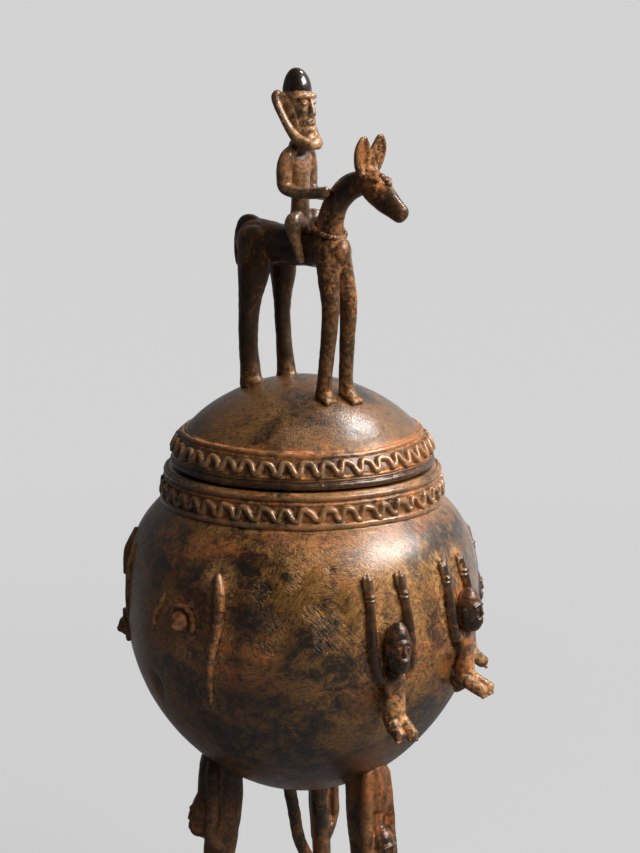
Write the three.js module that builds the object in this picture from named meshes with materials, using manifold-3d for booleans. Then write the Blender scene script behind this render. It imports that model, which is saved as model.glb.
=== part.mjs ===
// Lidded storage box of cast bronze: a round bowl on three figure legs, with figures in relief
// round its belly, and a loose domed lid that is lifted by the horse and rider on top of it.
// Millimetres, +Z up. The floor is at z = 0, the bowl's axis is the Z axis, the front is -Y.

import * as THREE from 'three';
import { mergeVertices } from 'three/addons/utils/BufferGeometryUtils.js';
import Module from 'manifold-3d';

const wasm = await Module();
wasm.setup();

// Clearances
const seatGap = 0.3; // between two pieces that touch
const lidPlay = 1; // between the lid's locating ring and the mouth, all round

// Bowl
const bowlRadius = 90;
const widestHeight = 201; // floor to the bowl's widest level
const bowlDepth = 96; // widest level to the outside of the bottom
const shoulderRise = 70.8; // widest level to where the shoulder's curve would close
const bellyRoundness = 1.87; // exponents of the two superellipse halves, 2 being an ellipse
const shoulderRoundness = 3;
const bowlWall = 4.5;

// Collar round the mouth
const collarRise = 56.6; // widest level to the foot of the collar
const collarHeight = 17.4;
const collarTaper = 2.3; // how much narrower the collar is at the mouth than at its foot
const mouthWall = 6.5; // thickness of the collar at the mouth
const collarRidgeSize = 1.5; // half-round ridge under the wave
const collarCordSize = 1; // thin cord above the wave
const collarLipSize = 1.4; // half-round lip at the mouth's edge
const collarWaves = 43;
const collarWaveHeight = 3; // centre line to crest
const waveThread = 1.35; // half thickness of the wave thread

// Lid
const shadowGap = 2.3; // lip to the underside of the lid's rim
const lidSetback = 3.6; // the lid's rim inside the collar's upper edge
const lidRimHeight = 6.7; // straight part of the lid's edge
const domeFlare = 1.8; // rim to where the dome's curve would stand upright
const domeRise = 44.1;
const domeRoundness = 1.745;
const lidWall = 4;
const spigotDepth = 9; // how far the locating ring reaches into the mouth
const spigotWall = 3.5;
const lidBandReach = 8.9; // rim to the upper ridge of the lid's band
const lidRidgeSize = 1.5;
const lidCordSize = 1.1;
const lidRimBeadSize = 1.9;
const lidWaves = 40;
const lidWaveHeight = 2.9;

// Legs
const legAzimuths = { left: -73.5, right: 48, back: 168 }; // from the front, towards +X
const legHeadHeights = { left: 89, right: 82, back: 80 }; // middle of each leg's head
const legTopShare = 0.433; // axis of the post where it meets the bowl, in bowl radii
const legFootShare = 0.6; // axis of the post at the floor, in bowl radii
const legHalfWidth = 7.2;
const legHalfDepth = 8;
const footReach = 13; // how far the toes stand out in front of the post's axis
const legHeadHeight = 26;
const legArmShare = 0.544; // where the arms meet the bowl, in bowl radii
const legHeadRelief = 10.5; // nose to the face of the post
const legArmRadius = 2.8;
const braceRadius = 3.5;

// Relief figures round the belly. Shoulders are measured from the bowl's widest level. The hands
// lean to one side of the head, the arms are spread from it, and the feet reach out beyond the
// widest radius. A worn figure has no feet left, and one arm may run on down past the shoulder.
const reliefFigures = [
  {
    name: 'front_right', azimuth: 30, shoulders: -16, head: 28, relief: 9.5,
    lean: -4, spread: 10.5, reach: 15,
  },
  {
    name: 'right', azimuth: 62, shoulders: -4.5, head: 24, relief: 10,
    lean: -6, spread: 10, reach: 17,
  },
  {
    name: 'back_right', azimuth: 110, shoulders: -13, head: 25, relief: 8,
    lean: 3, spread: 11, reach: 12,
  },
  {
    name: 'back', azimuth: 164, shoulders: -15, head: 26, relief: 8,
    lean: -3, spread: 11.5, reach: 10,
  },
  {
    name: 'back_left', azimuth: -138, shoulders: -11, head: 24, relief: 8,
    lean: 2, spread: 11, reach: 14,
  },
  {
    name: 'left', azimuth: -86, shoulders: -18, head: 16, relief: 4.5,
    lean: 2, spread: 12, worn: true,
  },
  {
    name: 'front_left', azimuth: -41, shoulders: 1, head: 16, relief: 5,
    lean: 3, spread: 17, worn: true, longArm: 31, shortArm: 10,
  },
];
const reliefArmRadius = 2.6;
const reliefHandRise = 34; // widest level to the hands

// Horse, in its own frame: x forward, y to its left, z up from the top of the lid
const horseHeading = 43; // degrees turned from +X towards the front
const horseForward = 4; // middle of the horse from the bowl's axis, forward
const horseSideways = -6; // and to its left
const backHeight = 75.8;
const barrelDepth = 19.2;
const horseRear = -40; // rump
const horseFront = 31; // chest
const barrelHalfWidth = 8.5;
const hipHalfWidth = 11.5;
const hindSpread = 9.3; // middle of the horse to a hind leg
const foreSpread = 6.2;
const neckReach = 12.5; // chest to the poll, forward
const neckRise = 29; // back to the poll, upward
const headReach = 25; // poll to the muzzle, forward
const headDrop = 16.4; // and downward
const earLength = 19;
const earSpread = 6; // middle of the head to the middle of an ear
const neckRingRadius = 7.9;
const neckRingSize = 1.7;
const knotRadius = 2;

// Rider, in the horse's frame
const riderForward = 0.5; // seat from the middle of the horse
const torsoHeight = 37; // seat to the base of the neck
const riderHeadHeight = 38.8;
const capRadius = 7.1;
const riderShoulder = 9; // middle of the rider to a shoulder
const forearmDrop = 17; // shoulder to the forearm
const kneeSpread = 11.6;
const beardSize = 2;

// Facets
const ringSegments = 32;
const bodySides = 8;
const limbSides = 6;
const bellySteps = 7; // rings of the bowl's meridian below and above the widest level
const shoulderSteps = 4;
const domeSteps = 7;

// Solids: conversion, joining and cutting

/** The solid of a closed geometry. Triangles that shrink to a line at a pole are dropped. */
function solidOf(geometry) {
  const bare = geometry.clone();
  bare.deleteAttribute('normal');
  bare.deleteAttribute('uv');
  const merged = mergeVertices(bare, 1e-4);
  const index = merged.index.array;
  const kept = [];
  for (let i = 0; i < index.length; i += 3) {
    const [a, b, c] = [index[i], index[i + 1], index[i + 2]];
    if (a !== b && b !== c && c !== a) kept.push(a, b, c);
  }
  const vertProperties = new Float32Array(merged.attributes.position.array);
  const triVerts = new Uint32Array(kept);
  return new wasm.Manifold(new wasm.Mesh({ numProp: 3, vertProperties, triVerts }));
}

function geometryOf(solid) {
  const mesh = solid.getMesh();
  const geometry = new THREE.BufferGeometry();
  geometry.setAttribute('position', new THREE.BufferAttribute(mesh.vertProperties, 3));
  geometry.setIndex(new THREE.BufferAttribute(mesh.triVerts, 1));
  geometry.computeVertexNormals();
  return geometry;
}

/** Joins the shapes, then takes the cutters away. */
function carve(shapes, cutters) {
  let solid = solidOf(shapes[0]);
  for (const shape of shapes.slice(1)) solid = solid.add(solidOf(shape));
  for (const cutter of cutters) solid = solid.subtract(solidOf(cutter));
  return geometryOf(solid);
}

// Shapes: turned on the Z axis, and limbs along a curve

/** A profile of [radius, height] points turned round the Z axis. */
function turned(profile) {
  const points = profile.map(([radius, height]) => new THREE.Vector2(radius, height));
  return new THREE.LatheGeometry(points, ringSegments).rotateX(Math.PI / 2);
}

/**
 * A closed limb: an oval section carried along a smooth curve through the stations, each
 * [x, y, z, half width, half depth]. The depth lies towards `facing`, and both ends are blunt.
 */
function limb(stations, options = {}) {
  const { steps, sides = limbSides, facing = [0, 0, 1], grow = 0, blunt = 0.5 } = options;
  const centres = stations.map(([x, y, z]) => new THREE.Vector3(x, y, z));
  const halves = stations.map(([, , , wide, deep]) => new THREE.Vector3(wide, deep ?? wide, 0));
  const path = new THREE.CatmullRomCurve3(centres);
  const sizes = new THREE.CatmullRomCurve3(halves);
  path.curveType = 'catmullrom';
  sizes.curveType = 'catmullrom';
  const rings = steps ?? stations.length - 1;
  const front = new THREE.Vector3(...facing);
  const positions = [];
  const index = [];
  const ends = [];
  for (let i = 0; i <= rings; i += 1) {
    const centre = path.getPoint(i / rings);
    const tangent = path.getTangent(i / rings);
    const size = sizes.getPoint(i / rings);
    const across = new THREE.Vector3().crossVectors(front, tangent).normalize();
    const deep = new THREE.Vector3().crossVectors(tangent, across);
    for (let j = 0; j < sides; j += 1) {
      const angle = (2 * Math.PI * j) / sides;
      const point = centre.clone();
      point.addScaledVector(across, (size.x + grow) * Math.cos(angle));
      point.addScaledVector(deep, (size.y + grow) * Math.sin(angle));
      positions.push(...point.toArray());
    }
    const reach = blunt * Math.min(size.x, size.y) + grow;
    if (i === 0) ends.push(centre.clone().addScaledVector(tangent, -reach));
    if (i === rings) ends.push(centre.clone().addScaledVector(tangent, reach));
  }
  for (let i = 0; i < rings; i += 1) {
    for (let j = 0; j < sides; j += 1) {
      const [a, b] = [i * sides + j, i * sides + ((j + 1) % sides)];
      index.push(a, b, a + sides, b, b + sides, a + sides);
    }
  }
  const [first, last] = [(rings + 1) * sides, (rings + 1) * sides + 1];
  positions.push(...ends[0].toArray(), ...ends[1].toArray());
  for (let j = 0; j < sides; j += 1) {
    const next = (j + 1) % sides;
    index.push(first, next, j, last, rings * sides + j, rings * sides + next);
  }
  const geometry = new THREE.BufferGeometry();
  geometry.setAttribute('position', new THREE.Float32BufferAttribute(positions, 3));
  geometry.setIndex(index);
  geometry.computeVertexNormals();
  return geometry;
}

/** The same stations on the other side of the x-z plane. */
function mirrored(stations) {
  return stations.map(([x, y, z, ...size]) => [x, -y, z, ...size]);
}

/**
 * A half-round bead round the Z axis, flat side down on a surface whose outward direction
 * leans `lean` radians up from the horizontal.
 */
function beadRing(radius, height, size, lean, arcSteps = 3) {
  const profile = [];
  for (let i = 0; i <= arcSteps; i += 1) {
    const angle = -Math.PI / 2 + (Math.PI * i) / arcSteps;
    const out = seatGap + size * Math.cos(angle);
    const along = size * Math.sin(angle);
    profile.push([
      radius + out * Math.cos(lean) - along * Math.sin(lean),
      height + out * Math.sin(lean) + along * Math.cos(lean),
    ]);
  }
  profile.push(profile[0]);
  return turned(profile);
}

/** A wavy thread round the Z axis, three-sided, lying on a surface like that of beadRing. */
function waveRing(radius, height, waves, crest, thread, lean) {
  const stepsPerWave = 4;
  const count = waves * stepsPerWave;
  const positions = [];
  const index = [];
  const place = (turn, out, along) => {
    const flat = radius + out * Math.cos(lean) - along * Math.sin(lean);
    const up = height + out * Math.sin(lean) + along * Math.cos(lean);
    positions.push(flat * Math.sin(turn), -flat * Math.cos(turn), up);
  };
  for (let i = 0; i < count; i += 1) {
    const turn = (2 * Math.PI * i) / count;
    const phase = (2 * Math.PI * (i + 0.5)) / stepsPerWave;
    const along = crest * Math.SQRT2 * Math.sin(phase);
    const slope = Math.atan2(crest * waves * Math.cos(phase), radius);
    const [sideTurn, sideAlong] = [
      (-thread * Math.sin(slope)) / radius,
      thread * Math.cos(slope),
    ];
    place(turn - sideTurn, seatGap, along - sideAlong);
    place(turn, seatGap + 1.4 * thread, along);
    place(turn + sideTurn, seatGap, along + sideAlong);
  }
  for (let i = 0; i < count; i += 1) {
    const here = 3 * i;
    const ahead = (3 * (i + 1)) % (3 * count);
    for (let j = 0; j < 3; j += 1) {
      const next = (j + 1) % 3;
      index.push(here + j, ahead + j, here + next, ahead + j, ahead + next, here + next);
    }
  }
  const geometry = new THREE.BufferGeometry();
  geometry.setAttribute('position', new THREE.Float32BufferAttribute(positions, 3));
  geometry.setIndex(index);
  geometry.computeVertexNormals();
  return geometry;
}

// The bowl's surface

const roundedOff = (share, exponent) => (1 - share ** exponent) ** (1 / exponent);
const collarFoot = widestHeight + collarRise;
const collarTop = collarFoot + collarHeight;
const collarFootRadius = bowlRadius * roundedOff(collarRise / shoulderRise, shoulderRoundness) - 0.1;
const collarTopRadius = collarFootRadius - collarTaper;
const collarLean = Math.atan2(collarTaper, collarHeight);
const mouthRadius = collarTopRadius - mouthWall;
const lidRimRadius = collarTopRadius - lidSetback;
const domeReach = lidRimRadius + domeFlare;
const lidRidgeRadius = lidRimRadius - lidBandReach;

/** Outside radius of the collar, which narrows towards the mouth. */
function collarRadiusAt(height) {
  return collarFootRadius - (collarTaper * (height - collarFoot)) / collarHeight;
}

/** Outside radius of the bowl at a height between its bottom and its collar. */
function bowlRadiusAt(height) {
  if (height >= collarFoot) return collarRadiusAt(height);
  if (height >= widestHeight) {
    return bowlRadius * roundedOff((height - widestHeight) / shoulderRise, shoulderRoundness);
  }
  const share = Math.min(1, (widestHeight - height) / bowlDepth);
  return bowlRadius * roundedOff(share, bellyRoundness);
}

/** Half of a meridian below the widest level, bottom first, drawn in by `inset`. */
function bellyProfile(steps, inset) {
  const profile = [];
  for (let i = 0; i <= steps; i += 1) {
    const angle = (Math.PI / 2) * (1 - i / steps);
    profile.push([
      (bowlRadius - inset) * Math.cos(angle) ** (2 / bellyRoundness),
      widestHeight - (bowlDepth - inset) * Math.sin(angle) ** (2 / bellyRoundness),
    ]);
  }
  profile[0][0] = 0;
  return profile;
}

/** The meridian from just above the widest level up to where it reaches a radius. */
function shoulderProfile(steps, inset, endRadius) {
  const radius = bowlRadius - inset;
  const end = Math.acos((endRadius / radius) ** (shoulderRoundness / 2));
  const profile = [];
  for (let i = 1; i <= steps; i += 1) {
    const angle = (end * i) / steps;
    profile.push([
      radius * Math.cos(angle) ** (2 / shoulderRoundness),
      widestHeight + shoulderRise * Math.sin(angle) ** (2 / shoulderRoundness),
    ]);
  }
  return profile;
}

/** A solid that fills the bowl's outline, larger by the seating gap, to cut what lies on it. */
function bowlCutter() {
  const outline = [
    ...bellyProfile(bellySteps, -seatGap),
    ...shoulderProfile(shoulderSteps, -seatGap, collarFootRadius),
  ];
  return turned([...outline, [collarTopRadius + seatGap, collarTop], [0, collarTop]]);
}

/** The bowl's wall below its widest level. It is cast in one with the shoulder. */
function bowlShell() {
  const seamLevel = ([radius, height]) => [radius, Math.min(height, widestHeight - seatGap)];
  const outside = bellyProfile(bellySteps, 0).map(seamLevel);
  const inside = bellyProfile(bellySteps - 3, bowlWall).map(seamLevel);
  return turned([...outside, ...inside.reverse()]);
}

/** The bowl's wall from its widest level up to the mouth, with the collar. */
function bowlShoulder() {
  const outside = [
    [bowlRadius, widestHeight],
    ...shoulderProfile(shoulderSteps, 0, collarFootRadius),
    [collarTopRadius, collarTop],
  ];
  const inside = [
    [bowlRadius - bowlWall, widestHeight],
    ...shoulderProfile(shoulderSteps - 1, bowlWall, mouthRadius),
    [mouthRadius, collarTop],
  ];
  return turned([...outside, ...inside.reverse(), outside[0]]);
}

// The lid's surface

const rimUnderside = collarTop + shadowGap;
const lidBottom = collarTop + seatGap;
const domeFall = (radius) => domeRise * (1 - roundedOff(radius / domeReach, domeRoundness));
const domeEdge = rimUnderside + lidRimHeight;
const domeTop = domeEdge + domeFall(lidRimRadius);
const domeHeightAt = (radius) => domeTop - domeFall(radius);

/** The dome's meridian from its edge to the axis, drawn in by `inset`. */
function domeProfile(steps, inset) {
  const profile = [];
  for (let i = 0; i <= steps; i += 1) {
    const radius = (lidRimRadius - inset) * Math.cos((Math.PI / 2) * (i / steps)) ** 0.8;
    profile.push([i === steps ? 0 : radius, domeHeightAt(radius) - inset]);
  }
  return profile;
}

function lidDome() {
  const spigotRadius = mouthRadius - lidPlay;
  const boreRadius = spigotRadius - spigotWall;
  const spigotEnd = lidBottom - spigotDepth;
  const stepRadius = lidRimRadius - lidRimBeadSize / 2;
  const outside = [
    [boreRadius, spigotEnd],
    [spigotRadius, spigotEnd],
    [spigotRadius, lidBottom],
    [stepRadius, lidBottom],
    [stepRadius, rimUnderside],
    [lidRimRadius, rimUnderside],
    ...domeProfile(domeSteps, 0),
  ];
  const inside = domeProfile(domeSteps - 3, lidWall).filter(([radius]) => radius < boreRadius);
  return turned([...outside, ...inside.reverse(), outside[0]]);
}

/** A solid that fills the dome, larger by the seating gap, in the lid's own place. */
function domeCutter() {
  const outline = domeProfile(domeSteps, 0).map(([radius, height]) => [radius, height + seatGap]);
  return turned([[0, domeEdge - lidRimHeight], [lidRimRadius, domeEdge - lidRimHeight], ...outline]);
}

// Relief figures

/** A point on the bowl: sideways along it, at a height, and standing out from it. */
function onBowl(sideways, height, out, ...size) {
  const radius = bowlRadiusAt(height) + out;
  const turn = sideways / bowlRadius;
  return [radius * Math.sin(turn), -radius * Math.cos(turn), height, ...size];
}

/** A point in front of the bowl at a distance from its axis. */
function before(sideways, height, distance, ...size) {
  return [sideways, -distance, height, ...size];
}

/** Arms from hand to hand along the shoulders, and how far they stand out from the bowl. */
function reliefArms({ shoulders, lean, spread, shortArm = 0 }, shoulderLevel) {
  const armLength = reliefHandRise - shoulders;
  const onArm = (side, share, width, out, size) => {
    const reached = side < 0 ? share * (1 - shortArm / armLength) : share;
    const sideways = lean * reached + side * width * spread;
    return onBowl(sideways, shoulderLevel + reached * armLength, out, size * reliefArmRadius);
  };
  const arm = (side) => [
    onArm(side, 0.03, 0.72, 1.3, 1),
    onArm(side, 0.25, 1, 1.5, 1),
    onArm(side, 0.62, 0.97, 1.5, 0.95),
    onArm(side, 1, 0.87, 1.2, 1.05),
  ];
  const collarbone = onBowl(0, shoulderLevel - 2, 1.2, reliefArmRadius);
  return [...arm(-1).reverse(), collarbone, ...arm(1)];
}

function reliefFigure(figure) {
  const { azimuth, head, relief, spread, reach, worn = false, longArm = 0 } = figure;
  const front = [0, -1, 0];
  const shoulders = widestHeight + figure.shoulders;
  const headMiddle = shoulders + 2 + head / 2;
  const faceOut = relief - 6;
  const headBody = [
    onBowl(0, shoulders - 1, 0, 3, 3),
    onBowl(0, headMiddle - 0.34 * head, faceOut, 5, 5.2),
    onBowl(0, headMiddle, faceOut, 6.4, 6),
    onBowl(0, headMiddle + 0.3 * head, faceOut, 5.4, 5.4),
    onBowl(0, headMiddle + 0.46 * head, faceOut, 2.6, 3.2),
  ];
  const arms = reliefArms(figure, shoulders);
  const shapes = [
    limb(arms, { sides: 5, facing: front }),
    limb(headBody, { facing: front, blunt: 0.3 }),
  ];
  if (longArm > 0) {
    const wornSide = [
      onBowl(0.9 * spread, shoulders + 8, 1.2, reliefArmRadius),
      onBowl(0.68 * spread, shoulders - 0.2 * longArm, 1.1, reliefArmRadius),
      onBowl(0.52 * spread, shoulders - 0.6 * longArm, 0.9, 0.85 * reliefArmRadius),
      onBowl(0.44 * spread, shoulders - longArm, 0.6, 0.6 * reliefArmRadius),
    ];
    shapes.push(limb(wornSide, { steps: 5, sides: 5, facing: front }));
  }
  if (!worn) {
    const chest = bowlRadiusAt(shoulders) + 2.5;
    const hips = shoulders - 18;
    const feet = bowlRadius + reach;
    const torso = [
      before(0, shoulders + 1, chest, 6, 3),
      before(0, shoulders - 8, chest + 0.5, 5.6, 3.4),
      before(0, hips, chest - 1, 5.8, 5.2),
      before(0, hips - 12, chest + 1, 5, 6),
    ];
    const leg = (side) => [
      before(side * 2.8, hips - 2, chest - 1, 3, 4),
      before(side * 3.2, hips - 7, chest + 2.5, 3.3, 3.8),
      before(side * 3.5, hips - 12.5, feet - 3.5, 3.2, 3.4),
    ];
    shapes.push(limb(torso, { facing: front }));
    shapes.push(limb(leg(1), { sides: 5, facing: front }));
    shapes.push(limb(leg(-1), { sides: 5, facing: front }));
  }
  const turn = THREE.MathUtils.degToRad(azimuth);
  return carve(shapes, [bowlCutter().rotateZ(-turn)]);
}

// Legs, each in a frame with its own azimuth turned to the front

/** Height of the bowl's underside at a distance from its axis. */
function undersideAt(radius) {
  return widestHeight - bowlDepth * roundedOff(radius / bowlRadius, bellyRoundness);
}
const legTopRadius = legTopShare * bowlRadius;
const legFootRadius = legFootShare * bowlRadius;
const legArmSeat = legArmShare * bowlRadius;
const legTop = undersideAt(legTopRadius);
const bowlBottom = widestHeight - bowlDepth;

/** Distance from the bowl's axis to the middle of a leg's post. */
function legAxisAt(height) {
  return THREE.MathUtils.lerp(legFootRadius, legTopRadius, height / legTop);
}

function legPostStations() {
  const sink = 8; // how far the post runs into the bowl before it is cut
  const at = (height, width, depth) => [0, -legAxisAt(height), height, width, depth];
  return [
    at(-4, 1.25 * legHalfWidth, 1.15 * legHalfDepth),
    at(0.08 * legTop, 1.1 * legHalfWidth, legHalfDepth),
    at(0.3 * legTop, 0.95 * legHalfWidth, 0.92 * legHalfDepth),
    at(0.62 * legTop, legHalfWidth, 1.04 * legHalfDepth),
    at(0.85 * legTop, 1.1 * legHalfWidth, 1.12 * legHalfDepth),
    at(legTop + sink, 1.1 * legHalfWidth, 0.8 * legHalfDepth),
  ];
}

function legPost(azimuth, grow = 0) {
  const turn = THREE.MathUtils.degToRad(azimuth);
  const post = limb(legPostStations(), { steps: 6, sides: bodySides, facing: [0, -1, 0], grow });
  return post.rotateZ(turn);
}

/** Half of the space below the floor, to cut the feet flat. */
function floorCutter() {
  const depth = 40;
  return new THREE.BoxGeometry(4 * bowlRadius, 4 * bowlRadius, depth).translate(0, 0, -depth / 2);
}

function figureLeg(name) {
  const front = [0, -1, 0];
  const middle = legHeadHeights[name];
  const face = legAxisAt(middle) + legHalfDepth + legHeadRelief;
  const half = legHeadHeight / 2;
  const head = [
    [0, -(face - 9), middle - half, 3, 3.5],
    [0, -(face - 8), middle - 0.7 * half, 6.2, 6],
    [0, -(face - 8), middle, 7.8, 7.2],
    [0, -(face - 9), middle + 0.6 * half, 7.4, 7],
    [0, -(face - 12), middle + half, 3.6, 4],
  ];
  const nose = [
    [0, -(face - 3), middle + 0.25 * half, 1.1, 1.2],
    [0, -(face - 1.6), middle - 0.15 * half, 1.7, 1.8],
  ];
  const armSeat = undersideAt(legArmSeat);
  const arm = (side) => [
    [side * 0.75 * legHalfWidth, -(legAxisAt(middle) + 3), middle - half - 6, legArmRadius],
    [side * 1.2 * legHalfWidth, -(face - 9), middle - 0.7 * half, legArmRadius],
    [side * 1.25 * legHalfWidth, -(face - 10), middle + 0.3 * half, legArmRadius],
    [side * legHalfWidth, -(legArmSeat + 1), armSeat - 7, 0.95 * legArmRadius],
    [side * 0.8 * legHalfWidth, -legArmSeat, armSeat + 4, 0.95 * legArmRadius],
  ];
  const foot = (side) => [
    [side * 4, -(legFootRadius + 2), 3, 4.2, 3.6],
    [side * 5, -(legFootRadius + footReach - 3), 2, 4.4, 3.2],
  ];
  const shapes = [
    limb(head, { facing: front }),
    limb(nose, { sides: 4, facing: front }),
  ];
  for (const side of [1, -1]) {
    shapes.push(limb(arm(side), { sides: 5, facing: front }));
    shapes.push(limb(foot(side)));
  }
  const turn = THREE.MathUtils.degToRad(legAzimuths[name]);
  const turnedShapes = shapes.map((shape) => shape.rotateZ(turn));
  return carve([legPost(legAzimuths[name]), ...turnedShapes], [bowlCutter(), floorCutter()]);
}

/** A slanting strut from the bottom of the bowl to the back leg. */
function backBrace() {
  const turn = THREE.MathUtils.degToRad(legAzimuths.back);
  const lower = 0.46 * legTop;
  const foot = [legAxisAt(lower) * Math.sin(turn), -legAxisAt(lower) * Math.cos(turn), lower];
  const head = [-0.12 * bowlRadius, 0.14 * bowlRadius, bowlBottom + 7];
  const middle = foot.map((value, axis) => (value + head[axis]) / 2);
  const stations = [head, middle, foot].map((place) => [...place, braceRadius]);
  const cutters = [bowlCutter(), legPost(legAzimuths.back, seatGap)];
  return carve([limb(stations, { sides: bodySides, facing: [1, 0, 0] })], cutters);
}

// Horse

const bellyMiddle = backHeight - barrelDepth / 2;

function horseBodyStations() {
  const length = horseFront - horseRear;
  const at = (share, rise, halfDepth, halfWidth) => [
    horseRear + share * length,
    0,
    bellyMiddle + rise,
    halfWidth,
    halfDepth * (barrelDepth / 2),
  ];
  return [
    at(0.01, 0.3, 0.42, 0.35 * hipHalfWidth),
    at(0.04, -0.2, 0.83, 0.65 * hipHalfWidth),
    at(0.12, -0.2, 1.18, hipHalfWidth),
    at(0.24, -0.2, 1.16, hipHalfWidth),
    at(0.4, 0, 1.04, 1.1 * barrelHalfWidth),
    at(0.56, 0.1, 0.98, barrelHalfWidth),
    at(0.72, 1, 1.03, barrelHalfWidth),
    at(0.85, 1.1, 1.11, 1.08 * barrelHalfWidth),
    at(0.94, 0.4, 0.92, 0.96 * barrelHalfWidth),
    at(0.99, -0.2, 0.47, 0.53 * barrelHalfWidth),
  ];
}

const horseBody = (grow = 0) => limb(horseBodyStations(), { steps: 10, sides: 10, grow });

const hip = horseRear + 14;
const shoulder = horseFront - 7;

/** Stations of the legs, from hip or shoulder down into the lid. */
const horseLegs = {
  right_hind: [
    [hip + 1, -0.65 * hindSpread, bellyMiddle + 1, 8.2, 10],
    [hip + 2, -0.88 * hindSpread, bellyMiddle - 11, 6.8, 10],
    [hip, -0.98 * hindSpread, 0.55 * bellyMiddle, 5.4, 6],
    [hip - 0.9, -hindSpread, 0.27 * bellyMiddle, 5, 5],
    [hip + 0.5, -hindSpread, 3, 5.2, 5.2],
    [hip + 1.2, -hindSpread, -7, 5.6, 5.8],
  ],
  left_hind: [
    [hip + 5, 0.65 * hindSpread, bellyMiddle + 1, 8, 9.4],
    [hip + 6.5, 0.88 * hindSpread, bellyMiddle - 12, 6, 8.4],
    [hip + 5.4, 0.98 * hindSpread, 0.55 * bellyMiddle, 4.4, 4.8],
    [hip + 5.6, hindSpread, 0.33 * bellyMiddle, 4, 4.1],
    [hip + 7.7, hindSpread, 2, 4.6, 4.7],
    [hip + 8, hindSpread, -6, 5.2, 5.4],
  ],
  right_fore: [
    [shoulder - 2, -0.7 * foreSpread, bellyMiddle + 1, 6, 7.4],
    [shoulder + 0.6, -0.9 * foreSpread, bellyMiddle - 13, 4.9, 5.7],
    [shoulder + 2.6, -0.97 * foreSpread, 0.6 * bellyMiddle, 4.3, 4.6],
    [shoulder + 1.4, -foreSpread, 0.36 * bellyMiddle, 4, 4],
    [shoulder - 0.9, -foreSpread, 6, 3.8, 3.8],
    [shoulder - 2.4, -foreSpread, -9, 4.1, 4.3],
  ],
  left_fore: [
    [shoulder - 2.5, 0.7 * foreSpread, bellyMiddle + 1, 6, 7.4],
    [shoulder + 1, 0.9 * foreSpread, bellyMiddle - 13, 4.9, 5.6],
    [shoulder + 3.3, 0.97 * foreSpread, 0.6 * bellyMiddle, 4.3, 4.8],
    [shoulder + 2.5, foreSpread, 0.33 * bellyMiddle, 3.9, 4],
    [shoulder + 1.6, foreSpread, 5, 3.7, 3.7],
    [shoulder + 2.2, foreSpread, -9, 4, 4.2],
  ],
};

/** Toes of the fore feet, which point forward and follow the dome. */
const foreFeet = {
  right_fore: [
    [shoulder - 3, -foreSpread, -4, 4.2, 3.8],
    [shoulder + 1.6, -foreSpread - 0.5, -5.8, 4.4, 3.4],
  ],
  left_fore: [
    [shoulder + 2, foreSpread, -5, 4.2, 3.8],
    [shoulder + 6.8, foreSpread + 0.5, -7.4, 4.4, 3.4],
  ],
};

const poll = horseFront + neckReach;
const pollHeight = backHeight + neckRise;

const neckStations = [
  [horseFront - 15.5, 0, bellyMiddle + 3, 6, 7],
  [horseFront - 12, 0, backHeight - 1, 7.4, 7.8],
  [horseFront - 9.4, 0, backHeight + 0.28 * neckRise, 6, 6.6],
  [horseFront - 5.2, 0, backHeight + 0.56 * neckRise, 5.6, 6.3],
  [horseFront + 0.3 * neckReach, 0, backHeight + 0.83 * neckRise, 5.6, 6.4],
  [poll + 1.5, 0, pollHeight - 1, 5.4, 5.6],
];
const horseNeck = (grow = 0) =>
  limb(neckStations, { steps: 7, sides: bodySides, facing: [1, 0, 0], grow });

/** A station of the horse's head, `share` of the way from the poll to the muzzle. */
function onHead(share, lift, halfWidth, halfDepth) {
  return [poll + share * headReach, 0, pollHeight - share * headDrop + lift, halfWidth, halfDepth];
}

function horseHead(grow = 0) {
  const stations = [
    onHead(-0.04, 0.2, 4.2, 4.6),
    onHead(0.1, 0.9, 6, 7),
    onHead(0.34, 0.7, 6, 7.9),
    onHead(0.58, 0, 5, 6.9),
    onHead(0.8, 0.3, 4.3, 5.4),
    onHead(0.96, 0.7, 3.6, 4.2),
  ];
  return limb(stations, { steps: 7, sides: bodySides, grow });
}

/** A leaf-shaped ear, broad across the head and thin from front to back. */
function horseEar(side) {
  const root = pollHeight + 2;
  const stations = [
    [poll + 2, side * 0.65 * earSpread, root, 2.6, 2],
    [poll + 2.4, side * 0.85 * earSpread, root + 0.32 * earLength, 4.7, 2.2],
    [poll + 3.6, side * earSpread, root + 0.66 * earLength, 4.8, 2.1],
    [poll + 5, side * 1.05 * earSpread, root + 0.94 * earLength, 2.2, 1.4],
  ];
  return limb(stations, { steps: 5, facing: [1, 0, 0] });
}

const tailStations = [
  [hip - 1, 0, backHeight - 3, 2.6],
  [horseRear + 7, 0, backHeight - 0.2, 2.8],
  [horseRear + 1.4, 0, backHeight - 1.6, 2.7],
  [horseRear - 1.6, 0, backHeight - 0.39 * barrelDepth, 2.6],
  [horseRear - 2.4, 0, backHeight - 0.78 * barrelDepth, 2.5],
  [horseRear - 1.8, 0, backHeight - 1.1 * barrelDepth, 2.2],
];

/** A ring of cord round the foot of the neck, leaning with it. */
function neckRing() {
  const lean = 0.42;
  const ring = new THREE.TorusGeometry(neckRingRadius, neckRingSize, 5, 12);
  return ring.rotateY(lean).translate(horseFront - 11.5, 0, backHeight + 1.5);
}

/** Three beads of the bridle on the bridge of the nose, just touching one another. */
function bridleKnots() {
  const spacing = 1.3 * knotRadius;
  const slope = Math.atan2(headDrop, headReach);
  const knots = [];
  for (let i = 0; i < 3; i += 1) {
    const ahead = i * spacing;
    knots.push([
      poll + 0.45 * headReach + ahead * Math.cos(slope),
      0,
      pollHeight - 0.45 * headDrop + 9.8 - ahead * Math.sin(slope) * 1.1,
    ]);
  }
  return knots.map((place) => new THREE.IcosahedronGeometry(knotRadius, 0).translate(...place));
}

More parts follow.
